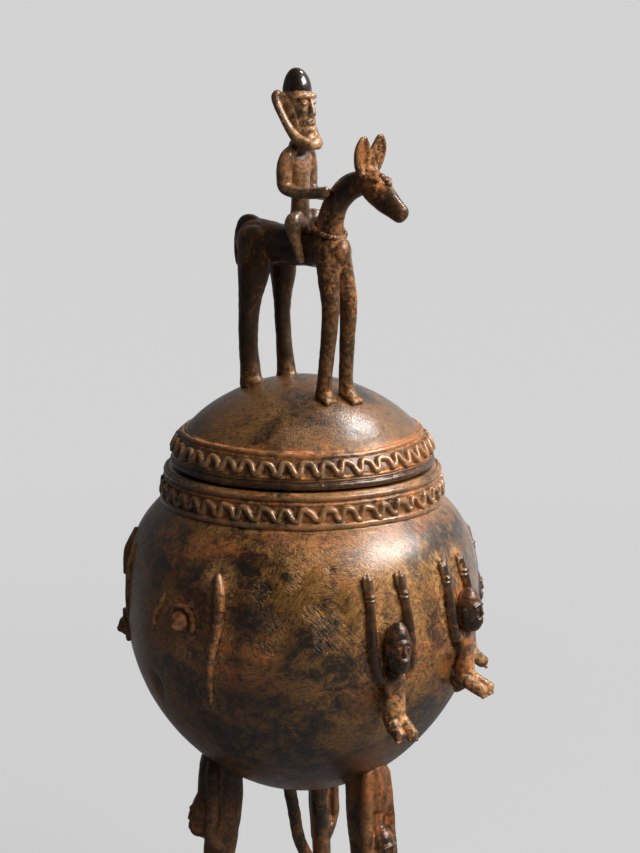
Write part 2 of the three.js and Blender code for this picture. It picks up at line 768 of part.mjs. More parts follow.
// Rider

const shoulderHeight = backHeight + torsoHeight;
const riderHeadTop = shoulderHeight + 3 + riderHeadHeight;

const torsoStations = [
  [riderForward, 0, backHeight - 5, 6, 6.5],
  [riderForward, 0, backHeight + 3, 5.6, 6.6],
  [riderForward, 0, backHeight + 0.28 * torsoHeight, 4.7, 5],
  [riderForward, 0, backHeight + 0.55 * torsoHeight, 4.8, 5.2],
  [riderForward - 0.5, 0, backHeight + 0.8 * torsoHeight, 5.2, 0.69 * riderShoulder],
  [riderForward - 1.5, 0, backHeight + 0.92 * torsoHeight, 4.6, 0.78 * riderShoulder],
  [riderForward - 2.1, 0, shoulderHeight, 3.9, 4.2],
];
const riderTorso = (grow = 0) =>
  limb(torsoStations, { steps: 8, sides: bodySides, facing: [0, 1, 0], grow });

const riderHeadLevel = (share) => riderHeadTop - riderHeadHeight * share;

/** Long head with a smooth cap: jaw, cheeks and crown, a plain nose, a brow ridge and ears. */
function riderHeadShapes(grow = 0) {
  const head = [
    [riderForward - 1.3, 0, riderHeadLevel(1), 3.8, 3.8],
    [riderForward + 1.7, 0, riderHeadLevel(0.9), 5.2, 6.6],
    [riderForward + 1.5, 0, riderHeadLevel(0.74), 6, 7.2],
    [riderForward + 0.3, 0, riderHeadLevel(0.56), 0.9 * capRadius, 7.6],
    [riderForward - 1.3, 0, riderHeadLevel(0.38), 0.95 * capRadius, 7.6],
    [riderForward - 2.5, 0, riderHeadLevel(0.22), capRadius, capRadius],
    [riderForward - 2.9, 0, riderHeadLevel(0.08), 0.65 * capRadius, 0.65 * capRadius],
  ];
  const nose = [
    [riderForward + 6.3, 0, riderHeadLevel(0.4), 1.4],
    [riderForward + 8.1, 0, riderHeadLevel(0.55), 1.9],
    [riderForward + 7.5, 0, riderHeadLevel(0.62), 1.6],
  ];
  const brow = [
    [riderForward + 2.9, -5.2, riderHeadLevel(0.36), 1.2],
    [riderForward + 6.1, 0, riderHeadLevel(0.34), 1.3],
    [riderForward + 2.9, 5.2, riderHeadLevel(0.36), 1.2],
  ];
  const ear = (side) => [
    [riderForward - 3, side * 0.6 * capRadius, riderHeadLevel(0.4), 2.4, 3.6],
    [riderForward - 6, side * 1.25 * capRadius, riderHeadLevel(0.36), 1.8, 3.4],
  ];
  return [
    limb(head, { steps: 8, sides: bodySides, facing: [1, 0, 0], grow }),
    limb(nose, { sides: 5, facing: [1, 0, 0], grow }),
    limb(brow, { sides: 5, facing: [1, 0, 0.2], grow }),
    limb(ear(1), { sides: 5, facing: [0, 0, 1], grow }),
    limb(ear(-1), { sides: 5, facing: [0, 0, 1], grow }),
  ];
}

/** A raised beard from one ear, along the jaw and round the chin, to the other ear. */
function riderBeard() {
  const half = [
    [riderForward + 9.7, 0, riderHeadLevel(0.94), beardSize],
    [riderForward + 7, -4, riderHeadLevel(0.97), beardSize],
    [riderForward + 2.5, -7, riderHeadLevel(0.85), beardSize],
    [riderForward - 2, -8.8, riderHeadLevel(0.66), beardSize],
    [riderForward - 5.5, -9.8, riderHeadLevel(0.48), 1.1 * beardSize],
    [riderForward - 7.3, -10, riderHeadLevel(0.34), 1.4 * beardSize],
  ];
  const rightSide = half.slice(1).reverse();
  const leftSide = mirrored(half.slice(1));
  return limb([...rightSide, half[0], ...leftSide], { steps: 10, sides: 5, facing: [1, 0, -0.3] });
}

/** An arm from the shoulder, down to the elbow and forward along to the horse's neck. */
function riderArm(side, elbow, lower) {
  const wrist = horseFront - 7.5 - riderForward;
  const at = (forward, spread, drop, size) => [
    riderForward + forward,
    side * spread * riderShoulder,
    shoulderHeight - drop * (forearmDrop + lower),
    size,
  ];
  const stations = [
    at(-1.6, 0.66, 0.06, 3),
    at(-1.6, 1, 0.3, 3.2),
    at(0.9 * elbow, 1.02, 0.7, 3.1),
    at(0.7 * elbow, 1, 0.96, 3),
    at(0.27 * wrist, 0.92, 1.05, 2.9),
    at(0.67 * wrist, 0.84, 1.02, 2.8),
    at(wrist, 0.78, 0.96, 2.9),
  ];
  return limb(stations, { steps: 9, facing: [0, 1, 0] });
}

/** A leg from the seat, out to the knee and down the horse's flank. */
function riderLeg(side, forward, rise) {
  const at = (ahead, spread, height, size) => [
    riderForward + forward + ahead,
    side * spread * kneeSpread,
    backHeight + rise + height,
    size,
  ];
  const stations = [
    at(0, 0.29, 2.5, 4.6),
    at(2.2, 0.74, 1.5, 4.6),
    at(4.6, 1, -3.5, 3.7),
    at(5.4, 0.97, -9.5, 2.8),
    at(6.6, 0.93, -15, 2.6),
  ];
  return limb(stations, { steps: 6, facing: [1, 0, 0] });
}

// Materials

const darkBronze = { color: 0x4a3a2c, roughness: 0.5, metalness: 0.75 };
const brownBronze = { color: 0x6b4a2d, roughness: 0.45, metalness: 0.7 };
const ochreBronze = { color: 0x8a5a30, roughness: 0.65, metalness: 0.45 };
const polishedBronze = { color: 0x3a302a, roughness: 0.3, metalness: 0.85 };

function piece(name, geometry, finish) {
  const mesh = new THREE.Mesh(geometry, new THREE.MeshStandardMaterial(finish));
  mesh.name = name;
  return mesh;
}

// Assembly

const box = new THREE.Group();

const bowl = new THREE.Group();
box.add(bowl);
bowl.add(piece('bowl_shell', bowlShell(), brownBronze));
bowl.add(piece('bowl_shoulder', bowlShoulder(), brownBronze));
const ridgeHeight = collarFoot + collarRidgeSize;
const lipHeight = collarTop - 1.15 * collarLipSize;
const cordHeight = lipHeight - collarLipSize - 1.5 * collarCordSize;
const waveHeight = (ridgeHeight + collarRidgeSize + cordHeight - collarCordSize) / 2;
const collarBead = (height, size, arcSteps) =>
  beadRing(collarRadiusAt(height), height, size, collarLean, arcSteps);
bowl.add(piece('collar_ridge', collarBead(ridgeHeight, collarRidgeSize, 2), brownBronze));
bowl.add(piece('collar_cord', collarBead(cordHeight, collarCordSize, 2), ochreBronze));
bowl.add(piece('collar_lip', collarBead(lipHeight, collarLipSize), darkBronze));
const collarWave = waveRing(
  collarRadiusAt(waveHeight),
  waveHeight,
  collarWaves,
  collarWaveHeight,
  waveThread,
  collarLean,
);
bowl.add(piece('collar_wave', collarWave, ochreBronze));
for (const figure of reliefFigures) {
  const relief = piece(`relief_figure_${figure.name}`, reliefFigure(figure), ochreBronze);
  relief.rotation.z = THREE.MathUtils.degToRad(figure.azimuth);
  bowl.add(relief);
}
for (const name of Object.keys(legAzimuths)) {
  bowl.add(piece(`figure_leg_${name}`, figureLeg(name), darkBronze));
}
bowl.add(piece('back_brace', backBrace(), darkBronze));

const lid = new THREE.Group();
box.add(lid);
lid.add(piece('lid_dome', lidDome(), brownBronze));
const bandLean = (radius) => {
  const step = 0.5;
  return Math.atan2(2 * step, domeHeightAt(radius - step) - domeHeightAt(radius + step));
};
const ridgeLevel = domeHeightAt(lidRidgeRadius);
const lidRidge = beadRing(lidRidgeRadius, ridgeLevel, lidRidgeSize, bandLean(lidRidgeRadius), 2);
lid.add(piece('lid_ridge', lidRidge, ochreBronze));
const lidCord = beadRing(lidRimRadius, domeEdge - lidCordSize, lidCordSize, 0, 2);
lid.add(piece('lid_cord', lidCord, ochreBronze));
const lidRimBead = beadRing(lidRimRadius, rimUnderside + lidRimBeadSize, lidRimBeadSize, 0);
lid.add(piece('lid_rim_bead', lidRimBead, darkBronze));
const bandRadius = (lidRidgeRadius + lidRimRadius) / 2 + 1.2;
const lidWave = waveRing(
  bandRadius,
  domeHeightAt(bandRadius),
  lidWaves,
  lidWaveHeight,
  waveThread,
  bandLean(bandRadius),
);
lid.add(piece('lid_wave', lidWave, ochreBronze));

const horse = new THREE.Group();
const heading = THREE.MathUtils.degToRad(horseHeading);
horse.rotation.z = -heading;
horse.position.set(
  horseForward * Math.cos(heading) + horseSideways * Math.sin(heading),
  -horseForward * Math.sin(heading) + horseSideways * Math.cos(heading),
  domeTop,
);
horse.updateMatrix();
lid.add(horse);
const lidUnderHorse = domeCutter().applyMatrix4(horse.matrix.clone().invert());

horse.add(piece('horse_body', horseBody(), darkBronze));
for (const [name, stations] of Object.entries(horseLegs)) {
  const shapes = [limb(stations, { steps: 7, facing: [1, 0, 0] })];
  if (foreFeet[name]) shapes.push(limb(foreFeet[name]));
  horse.add(piece(`horse_${name}_leg`, carve(shapes, [horseBody(seatGap), lidUnderHorse]), darkBronze));
}
horse.add(piece('horse_neck', carve([horseNeck()], [horseBody(seatGap)]), darkBronze));
horse.add(piece('horse_head', carve([horseHead()], [horseNeck(seatGap)]), darkBronze));
const headAndNeck = [horseHead(seatGap), horseNeck(seatGap)];
horse.add(piece('horse_right_ear', carve([horseEar(-1)], headAndNeck), ochreBronze));
horse.add(piece('horse_left_ear', carve([horseEar(1)], headAndNeck), ochreBronze));
horse.add(piece('horse_bridle_knots', carve(bridleKnots(), headAndNeck), ochreBronze));
const horseTail = carve([limb(tailStations, { steps: 7 })], [horseBody(seatGap)]);
horse.add(piece('horse_tail', horseTail, darkBronze));
const bodyAndNeck = [horseNeck(seatGap), horseBody(seatGap)];
horse.add(piece('horse_neck_ring', carve([neckRing()], bodyAndNeck), ochreBronze));

const torsoAndBody = [riderTorso(seatGap), horseBody(seatGap)];
const torsoAndNeck = [riderTorso(seatGap), horseNeck(seatGap)];
horse.add(piece('rider_torso', carve([riderTorso()], [horseBody(seatGap)]), brownBronze));
horse.add(piece('rider_head', carve(riderHeadShapes(), [riderTorso(seatGap)]), polishedBronze));
horse.add(piece('rider_beard', carve([riderBeard()], riderHeadShapes(seatGap)), ochreBronze));
horse.add(piece('rider_right_arm', carve([riderArm(-1, -2.8, 0)], torsoAndNeck), darkBronze));
horse.add(piece('rider_left_arm', carve([riderArm(1, -2, 2)], torsoAndNeck), darkBronze));
horse.add(piece('rider_right_leg', carve([riderLeg(-1, 0.5, 0)], torsoAndBody), brownBronze));
horse.add(piece('rider_left_leg', carve([riderLeg(1, 0.6, 0.5)], torsoAndBody), brownBronze));

export default box;
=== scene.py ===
"""Looks of a lidded storage box of cast bronze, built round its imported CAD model.

Sizes inside the formulas are millimetres, as in the CAD source, and meshes are written in metres.
Azimuths are degrees from the front (-Y) towards +X.
"""

import math

import bpy
import numpy as np
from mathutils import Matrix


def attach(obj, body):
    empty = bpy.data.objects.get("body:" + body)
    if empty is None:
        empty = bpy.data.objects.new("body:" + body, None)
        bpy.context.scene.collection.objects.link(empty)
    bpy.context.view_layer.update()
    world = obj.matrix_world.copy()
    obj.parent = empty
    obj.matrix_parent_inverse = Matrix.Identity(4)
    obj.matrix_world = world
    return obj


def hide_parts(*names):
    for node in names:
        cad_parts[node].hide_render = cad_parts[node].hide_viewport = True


bl_info = {
    "name": "Lidded Bronze Storage Box",
    "version": (1, 0, 0),
    "blender": (4, 5, 0),
    "location": "3D View > Sidebar > Bronze Box",
    "description": "Builds the cast bronze surfaces of a lidded storage box round its CAD frame",
    "category": "Add Mesh",
}

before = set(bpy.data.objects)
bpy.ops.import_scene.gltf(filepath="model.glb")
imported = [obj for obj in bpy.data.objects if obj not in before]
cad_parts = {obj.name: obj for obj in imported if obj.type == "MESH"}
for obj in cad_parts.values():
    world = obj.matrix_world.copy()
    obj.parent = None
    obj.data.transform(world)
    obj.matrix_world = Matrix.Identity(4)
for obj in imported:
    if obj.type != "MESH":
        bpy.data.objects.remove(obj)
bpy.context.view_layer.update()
MM = 0.001


# Noise and curves, as arrays


def lumps(points, size, seed):
    """Smooth unevenness between -1 and 1: the mean of five sine waves in random directions,
    each over the wavelength `size` times 0.7 to 1.5."""
    random = np.random.default_rng(seed)
    total = np.zeros(len(points))
    for _ in range(5):
        direction = random.normal(size=3)
        direction /= np.linalg.norm(direction) * size * random.uniform(0.7, 1.5)
        total += np.sin(2 * np.pi * (points @ direction) + random.uniform(0, 2 * np.pi))
    return total / 5


def smoothstep(low, high, value):
    """0 below low, 1 above high, and 3t^2 - 2t^3 between."""
    t = np.clip((value - low) / (high - low), 0, 1)
    return t * t * (3 - 2 * t)


def curve_through(stations, count):
    """Catmull-Rom curve: between two stations a cubic whose end slopes are half the difference of
    the neighbouring stations, read at `count` even steps."""
    p = np.asarray(stations, float)
    ends = np.vstack([2 * p[0] - p[1], p, 2 * p[-1] - p[-2]])
    t = np.linspace(0, len(p) - 1, count)
    k = np.minimum(t.astype(int), len(p) - 2)
    f = (t - k)[:, None]
    a, b, c, d = ends[k], ends[k + 1], ends[k + 2], ends[k + 3]
    return b + 0.5 * f * (c - a + f * (2 * a - 5 * b + 4 * c - d + f * (3 * (b - c) + d - a)))


def unit(vectors):
    """Vectors over their own lengths."""
    return vectors / np.maximum(np.linalg.norm(vectors, axis=-1, keepdims=True), 1e-9)


def turn_z(points, degrees):
    """Points turned about the Z axis."""
    angle = math.radians(degrees)
    cosine, sine = math.cos(angle), math.sin(angle)
    x, y, z = points[..., 0], points[..., 1], points[..., 2]
    return np.stack([x * cosine - y * sine, x * sine + y * cosine, z], axis=-1)


# Shapes: each is a tuple of vertices, quads and triangles

MINUS_Y = (0, -1, 0)
PLUS_Y = (0, 1, 0)
PLUS_X = (1, 0, 0)


def tube_faces(rings, sides):
    """Quads of a grid of rings closed round their sides."""
    ring, side = np.meshgrid(np.arange(rings - 1), np.arange(sides), indexing="ij")
    a = ring * sides + side
    b = ring * sides + (side + 1) % sides
    return np.stack([a, b, b + sides, a + sides], axis=-1).reshape(-1, 4)


def ring_faces(rings, sides):
    """Quads of such a grid whose last ring also joins its first."""
    side = np.arange(sides)
    ahead = (side + 1) % sides
    last = (rings - 1) * sides
    closing = np.stack([last + side, last + ahead, ahead, side], axis=-1)
    return np.vstack([tube_faces(rings, sides), closing])


def closed_tube(rings, poles):
    """A grid of rings with a pole at each end, as one closed shape."""
    count, sides = rings.shape[:2]
    vertices = np.vstack([rings.reshape(-1, 3), poles])
    quads = tube_faces(count, sides)
    side = np.arange(sides)
    ahead = (side + 1) % sides
    start = np.full(sides, count * sides)
    last = (count - 1) * sides
    triangles = np.vstack(
        [
            np.stack([start, ahead, side], axis=-1),
            np.stack([start + 1, last + side, last + ahead], axis=-1),
        ]
    )
    return vertices, quads, triangles


def limb(stations, facing=(0, 0, 1), rings=28, sides=20, blunt=0.8):
    """An oval section carried along a curve through stations of x, y, z, half width and half
    depth. A point is the path plus the width times the cosine across plus the depth times the
    sine outward; at both ends the section shrinks as a quarter ellipse to a pole."""
    rows = [list(s) + [s[3]] if len(s) == 4 else list(s) for s in stations]
    s = curve_through(rows, rings)
    path, wide, deep = s[:, :3], s[:, 3], s[:, 4]
    tangent = unit(np.gradient(path, axis=0))
    across = unit(np.cross(np.broadcast_to(facing, tangent.shape), tangent))
    outward = np.cross(tangent, across)
    tips = np.linspace(0, np.pi / 2, 6)[1:-1]
    reach = blunt * np.minimum(wide, deep)
    order = np.concatenate([np.zeros(len(tips), int), np.arange(rings), np.full(len(tips), rings - 1)])
    scale = np.concatenate([np.cos(tips[::-1]), np.ones(rings), np.cos(tips)])
    shift = np.concatenate([-np.sin(tips[::-1]), np.zeros(rings), np.sin(tips)])
    angle = np.linspace(0, 2 * np.pi, sides, endpoint=False)[:, None]
    middle = path[order] + tangent[order] * (shift * reach[order])[:, None]
    width = (wide[order] * scale)[:, None, None]
    depth = (deep[order] * scale)[:, None, None]
    section = across[order][:, None] * width * np.cos(angle)
    section = section + outward[order][:, None] * depth * np.sin(angle)
    poles = [path[0] - tangent[0] * reach[0], path[-1] + tangent[-1] * reach[-1]]
    return closed_tube(middle[:, None] + section, poles)


def blob(centre, radii, sides=20):
    """An ellipsoid: centre plus radii times the unit sphere, from its lower pole to its upper."""
    latitude = np.linspace(-np.pi / 2, np.pi / 2, sides // 2 + 1)[1:-1]
    angle = np.linspace(0, 2 * np.pi, sides, endpoint=False)
    ring = np.stack(
        [
            np.outer(np.cos(latitude), np.cos(angle)),
            np.outer(np.cos(latitude), np.sin(angle)),
            np.outer(np.sin(latitude), np.ones(sides)),
        ],
        axis=-1,
    )
    centre, radii = np.array(centre, float), np.array(radii, float)
    poles = centre + np.array([[0, 0, -1], [0, 0, 1]]) * radii
    return closed_tube(centre + ring * radii, poles)


def moved(shape, change, *values):
    """A shape with its vertices sent through a function, which gets the values too."""
    return change(shape[0], *values), shape[1], shape[2]


def joined(shapes):
    """Several shapes in one set of arrays."""
    offset = 0
    vertices, quads, triangles = [], [], []
    for shape in shapes:
        vertices.append(shape[0])
        quads.append(shape[1] + offset)
        triangles.append(shape[2] + offset)
        offset += len(shape[0])
    return np.vstack(vertices), np.vstack(quads), np.vstack(triangles)


# Meshes and their attributes


def write_positions(mesh, points):
    """Sets a mesh's vertices from millimetres."""
    mesh.vertices.foreach_set("co", (points * MM).astype(np.float32).ravel())


def mesh_object(name, shape):
    """A smooth-shaded object at the origin from millimetre arrays."""
    vertices, quads, triangles = shape
    mesh = bpy.data.meshes.new(name)
    mesh.vertices.add(len(vertices))
    write_positions(mesh, vertices)
    loops = np.concatenate([quads.ravel(), triangles.ravel()]).astype(np.int32)
    mesh.loops.add(len(loops))
    mesh.loops.foreach_set("vertex_index", loops)
    corners = np.concatenate([np.full(len(quads), 4), np.full(len(triangles), 3)])
    starts = np.concatenate([[0], np.cumsum(corners)[:-1]]).astype(np.int32)
    mesh.polygons.add(len(corners))
    mesh.polygons.foreach_set("loop_start", starts)
    mesh.update(calc_edges=True)
    mesh.validate()
    mesh.shade_smooth()
    made = bpy.data.objects.new(name, mesh)
    bpy.context.scene.collection.objects.link(made)
    return made


def positions(mesh):
    """Vertex positions in millimetres."""
    values = np.empty(len(mesh.vertices) * 3, np.float32)
    mesh.vertices.foreach_get("co", values)
    return values.reshape(-1, 3).astype(float) / MM


def normals(mesh):
    """Vertex normals."""
    values = np.empty(len(mesh.vertices) * 3, np.float32)
    mesh.vertex_normals.foreach_get("vector", values)
    return values.reshape(-1, 3).astype(float)


def hollowness(mesh, rounds=3):
    """How hollow (positive) or raised (negative) each vertex lies: the mean of its neighbours
    less itself, along its normal, over the mean edge length. The values are then averaged with
    those of their neighbours, `rounds` times."""
    point = positions(mesh)
    edges = np.empty(len(mesh.edges) * 2, np.int32)
    mesh.edges.foreach_get("vertices", edges)
    start, end = edges[0::2], edges[1::2]
    here = np.concatenate([start, end])
    there = np.concatenate([end, start])
    degree = np.maximum(np.bincount(here, minlength=len(point)), 1)

    def neighbours(values):
        return np.bincount(here, values[there], minlength=len(point)) / degree

    mean = np.stack([neighbours(point[:, axis]) for axis in range(3)], axis=-1)
    length = np.linalg.norm(point[start] - point[end], axis=1).mean()
    bend = np.einsum("ij,ij->i", mean - point, normals(mesh)) / length
    for _ in range(rounds):
        bend = 0.5 * bend + 0.5 * neighbours(bend)
    return bend


def write_attributes(made, **values):
    """Values for the shaders: one for each vertex, or one number for all of them."""
    mesh = made.data
    for name, value in values.items():
        filled = np.full(len(mesh.vertices), value, np.float32)
        mesh.attributes.new(name, "FLOAT", "POINT").data.foreach_set("value", filled)


def modelled(name, shape, grain, melt, uneven, seed):
    """Overlapping closed shapes melted into one skin, as wax pieces are: remeshed at `grain`
    millimetres, smoothed `melt` times and made uneven along the normals by `uneven`, in lumps
    9 and 3.2 mm long."""
    made = mesh_object(name, shape)
    remesh = made.modifiers.new("melt", "REMESH")
    remesh.mode = "VOXEL"
    remesh.voxel_size = grain * MM
    smooth = made.modifiers.new("smooth", "SMOOTH")
    smooth.factor = 0.5
    smooth.iterations = melt
    bpy.context.view_layer.update()
    melted = made.evaluated_get(bpy.context.evaluated_depsgraph_get())
    skin = bpy.data.meshes.new_from_object(melted)
    old = made.data
    made.modifiers.clear()
    made.data = skin
    bpy.data.meshes.remove(old)
    skin.name = name
    point = positions(skin)
    wave = uneven * (lumps(point, 9, seed) + 0.45 * lumps(point, 3.2, seed + 1))
    write_positions(skin, point + normals(skin) * wave[:, None])
    skin.update()
    skin.shade_smooth()
    write_attributes(made, hollow=np.clip(hollowness(skin) * 6, -1, 1))
    return made


# The bowl's and the dome's meridians, as in the CAD source

BOWL_RADIUS = 90.0
WIDEST = 201.0
DEPTH = 96.0
SHOULDER = 70.8
BELLY_POWER = 1.87
SHOULDER_POWER = 3.0
COLLAR_FOOT = 257.6
COLLAR_TOP = 275.0
COLLAR_FOOT_RADIUS = 70.81
COLLAR_TOP_RADIUS = 68.51
MOUTH_RADIUS = 62.01
MOUTH_FOOT = 262.0
WALL = 4.5
LID_WALL = 4.0
LID_RIM_RADIUS = 64.9
LID_UNDERSIDE = 277.3
DOME_TOP = 320.52
DOME_REACH = 66.7
DOME_RISE = 44.1
DOME_POWER = 1.745


def bowl_radius_at(height):
    """Superellipse halves: radius = 90 (1 - share^p)^(1/p), share being the distance from the
    widest level over the half's depth, and a slight cone from the foot of the collar up."""
    height = np.asarray(height, float)
    below = np.clip((WIDEST - height) / DEPTH, 0, 1)
    above = np.clip((height - WIDEST) / SHOULDER, 0, 1)
    radius = np.where(
        height < WIDEST,
        BOWL_RADIUS * (1 - below**BELLY_POWER) ** (1 / BELLY_POWER),
        BOWL_RADIUS * (1 - above**SHOULDER_POWER) ** (1 / SHOULDER_POWER),
    )
    share = np.clip((height - COLLAR_FOOT) / (COLLAR_TOP - COLLAR_FOOT), 0, 1)
    collar = COLLAR_FOOT_RADIUS + (COLLAR_TOP_RADIUS - COLLAR_FOOT_RADIUS) * share
    return np.where(height >= COLLAR_FOOT, collar, radius)


def dome_height_at(radius):
    """Superellipse dome: height falls from its top by 44.1 (1 - (1 - share^p)^(1/p))."""
    share = np.clip(np.asarray(radius, float) / DOME_REACH, 0, 1)
    return DOME_TOP - DOME_RISE * (1 - (1 - share**DOME_POWER) ** (1 / DOME_POWER))


def ring_points(profile, columns):
    """A profile of radius and height turned round the Z axis: x = r sin a, y = -r cos a."""
    angle = np.linspace(0, 2 * np.pi, columns, endpoint=False)
    x = profile[:, :1] * np.sin(angle)
    y = -profile[:, :1] * np.cos(angle)
    z = np.broadcast_to(profile[:, 1:2], x.shape)
    return np.stack([x, y, z], axis=-1)


def arc_resampled(profile, count):
    """Points evenly spaced along a profile."""
    step = np.concatenate([[0], np.cumsum(np.linalg.norm(np.diff(profile, axis=0), axis=1))])
    at = np.linspace(0, step[-1], count)
    return np.stack([np.interp(at, step, profile[:, 0]), np.interp(at, step, profile[:, 1])], axis=-1)


# Materials


class Nodes:
    """A small writer for node trees: each method adds a node and returns its output."""

    def __init__(self, tree, place):
        self.nodes = tree.nodes
        self.links = tree.links
        self.place = self.nodes.new("ShaderNodeTexCoord").outputs[place]

    def link(self, value, socket):
        if isinstance(value, bpy.types.NodeSocket):
            self.links.new(value, socket)
        else:
            socket.default_value = value

    def attribute(self, name):
        node = self.nodes.new("ShaderNodeAttribute")
        node.attribute_name = name
        return node.outputs["Fac"]

    def noise(self, scale, detail, roughness, vector=None, distortion=0.0):
        node = self.nodes.new("ShaderNodeTexNoise")
        node.inputs["Scale"].default_value = scale
        node.inputs["Detail"].default_value = detail
        node.inputs["Roughness"].default_value = roughness
        node.inputs["Distortion"].default_value = distortion
        self.links.new(vector or self.place, node.inputs["Vector"])
        return node.outputs["Fac"]

    def stretched(self, scale, rotation=(0, 0, 0)):
        node = self.nodes.new("ShaderNodeMapping")
        node.vector_type = "TEXTURE"
        node.inputs["Scale"].default_value = [1 / s for s in scale]
        node.inputs["Rotation"].default_value = rotation
        self.links.new(self.place, node.inputs["Vector"])
        return node.outputs["Vector"]

    def cells(self, scale):
        node = self.nodes.new("ShaderNodeTexVoronoi")
        node.inputs["Scale"].default_value = scale
        self.links.new(self.place, node.inputs["Vector"])
        return node.outputs["Distance"]

    def range(self, value, low, high, to_low=0.0, to_high=1.0):
        node = self.nodes.new("ShaderNodeMapRange")
        node.interpolation_type = "SMOOTHSTEP"
        self.link(value, node.inputs["Value"])
        limits = {"From Min": low, "From Max": high, "To Min": to_low, "To Max": to_high}
        for name, number in limits.items():
            node.inputs[name].default_value = number
        return node.outputs["Result"]

    def math(self, operation, first, second=0.0, clamp=False):
        node = self.nodes.new("ShaderNodeMath")
        node.operation = operation
        node.use_clamp = clamp
        self.link(first, node.inputs[0])
        self.link(second, node.inputs[1])
        return node.outputs[0]

    def mix(self, factor, first, second):
        node = self.nodes.new("ShaderNodeMix")
        node.data_type = "RGBA"
        self.link(factor, node.inputs["Factor"])
        self.link(first, node.inputs[6])
        self.link(second, node.inputs[7])
        return node.outputs[2]

    def bump(self, height, strength, distance, before=None):
        node = self.nodes.new("ShaderNodeBump")
        node.inputs["Strength"].default_value = strength
        node.inputs["Distance"].default_value = distance
        self.link(height, node.inputs["Height"])
        if before is not None:
            self.links.new(before, node.inputs["Normal"])
        return node.outputs["Normal"]

    def axes(self):
        node = self.nodes.new("ShaderNodeSeparateXYZ")
        self.links.new(self.place, node.inputs[0])
        return node.outputs

    def product(self, *values):
        result = values[0]
        for value in values[1:]:
            result = self.math("MULTIPLY", result, value)
        return result

    def seen_directly(self, mirrored):
        """1 for camera and transmission rays, and `mirrored` for glossy rays."""
        rays = self.nodes.new("ShaderNodeLightPath").outputs
        glossy = self.math("MULTIPLY", rays["Is Glossy Ray"], mirrored)
        seen = self.math("MAXIMUM", rays["Is Camera Ray"], glossy)
        return self.math("MAXIMUM", seen, rays["Is Transmission Ray"])


class Shader(Nodes):
    """Writer for a material round its Principled BSDF."""

    def __init__(self, name):
        self.material = bpy.data.materials.new(name)
        self.material.use_nodes = True
        super().__init__(self.material.node_tree, "Object")
        self.principled = self.nodes["Principled BSDF"]


def tinted(values, *factors):
    """A colour times one factor, or times one for each channel."""
    return [value * factor for value, factor in zip(values, factors * 3)]


def colour(values, factor=1.0):
    """A colour, times a factor, with full alpha."""
    return (*tinted(values, factor), 1.0)


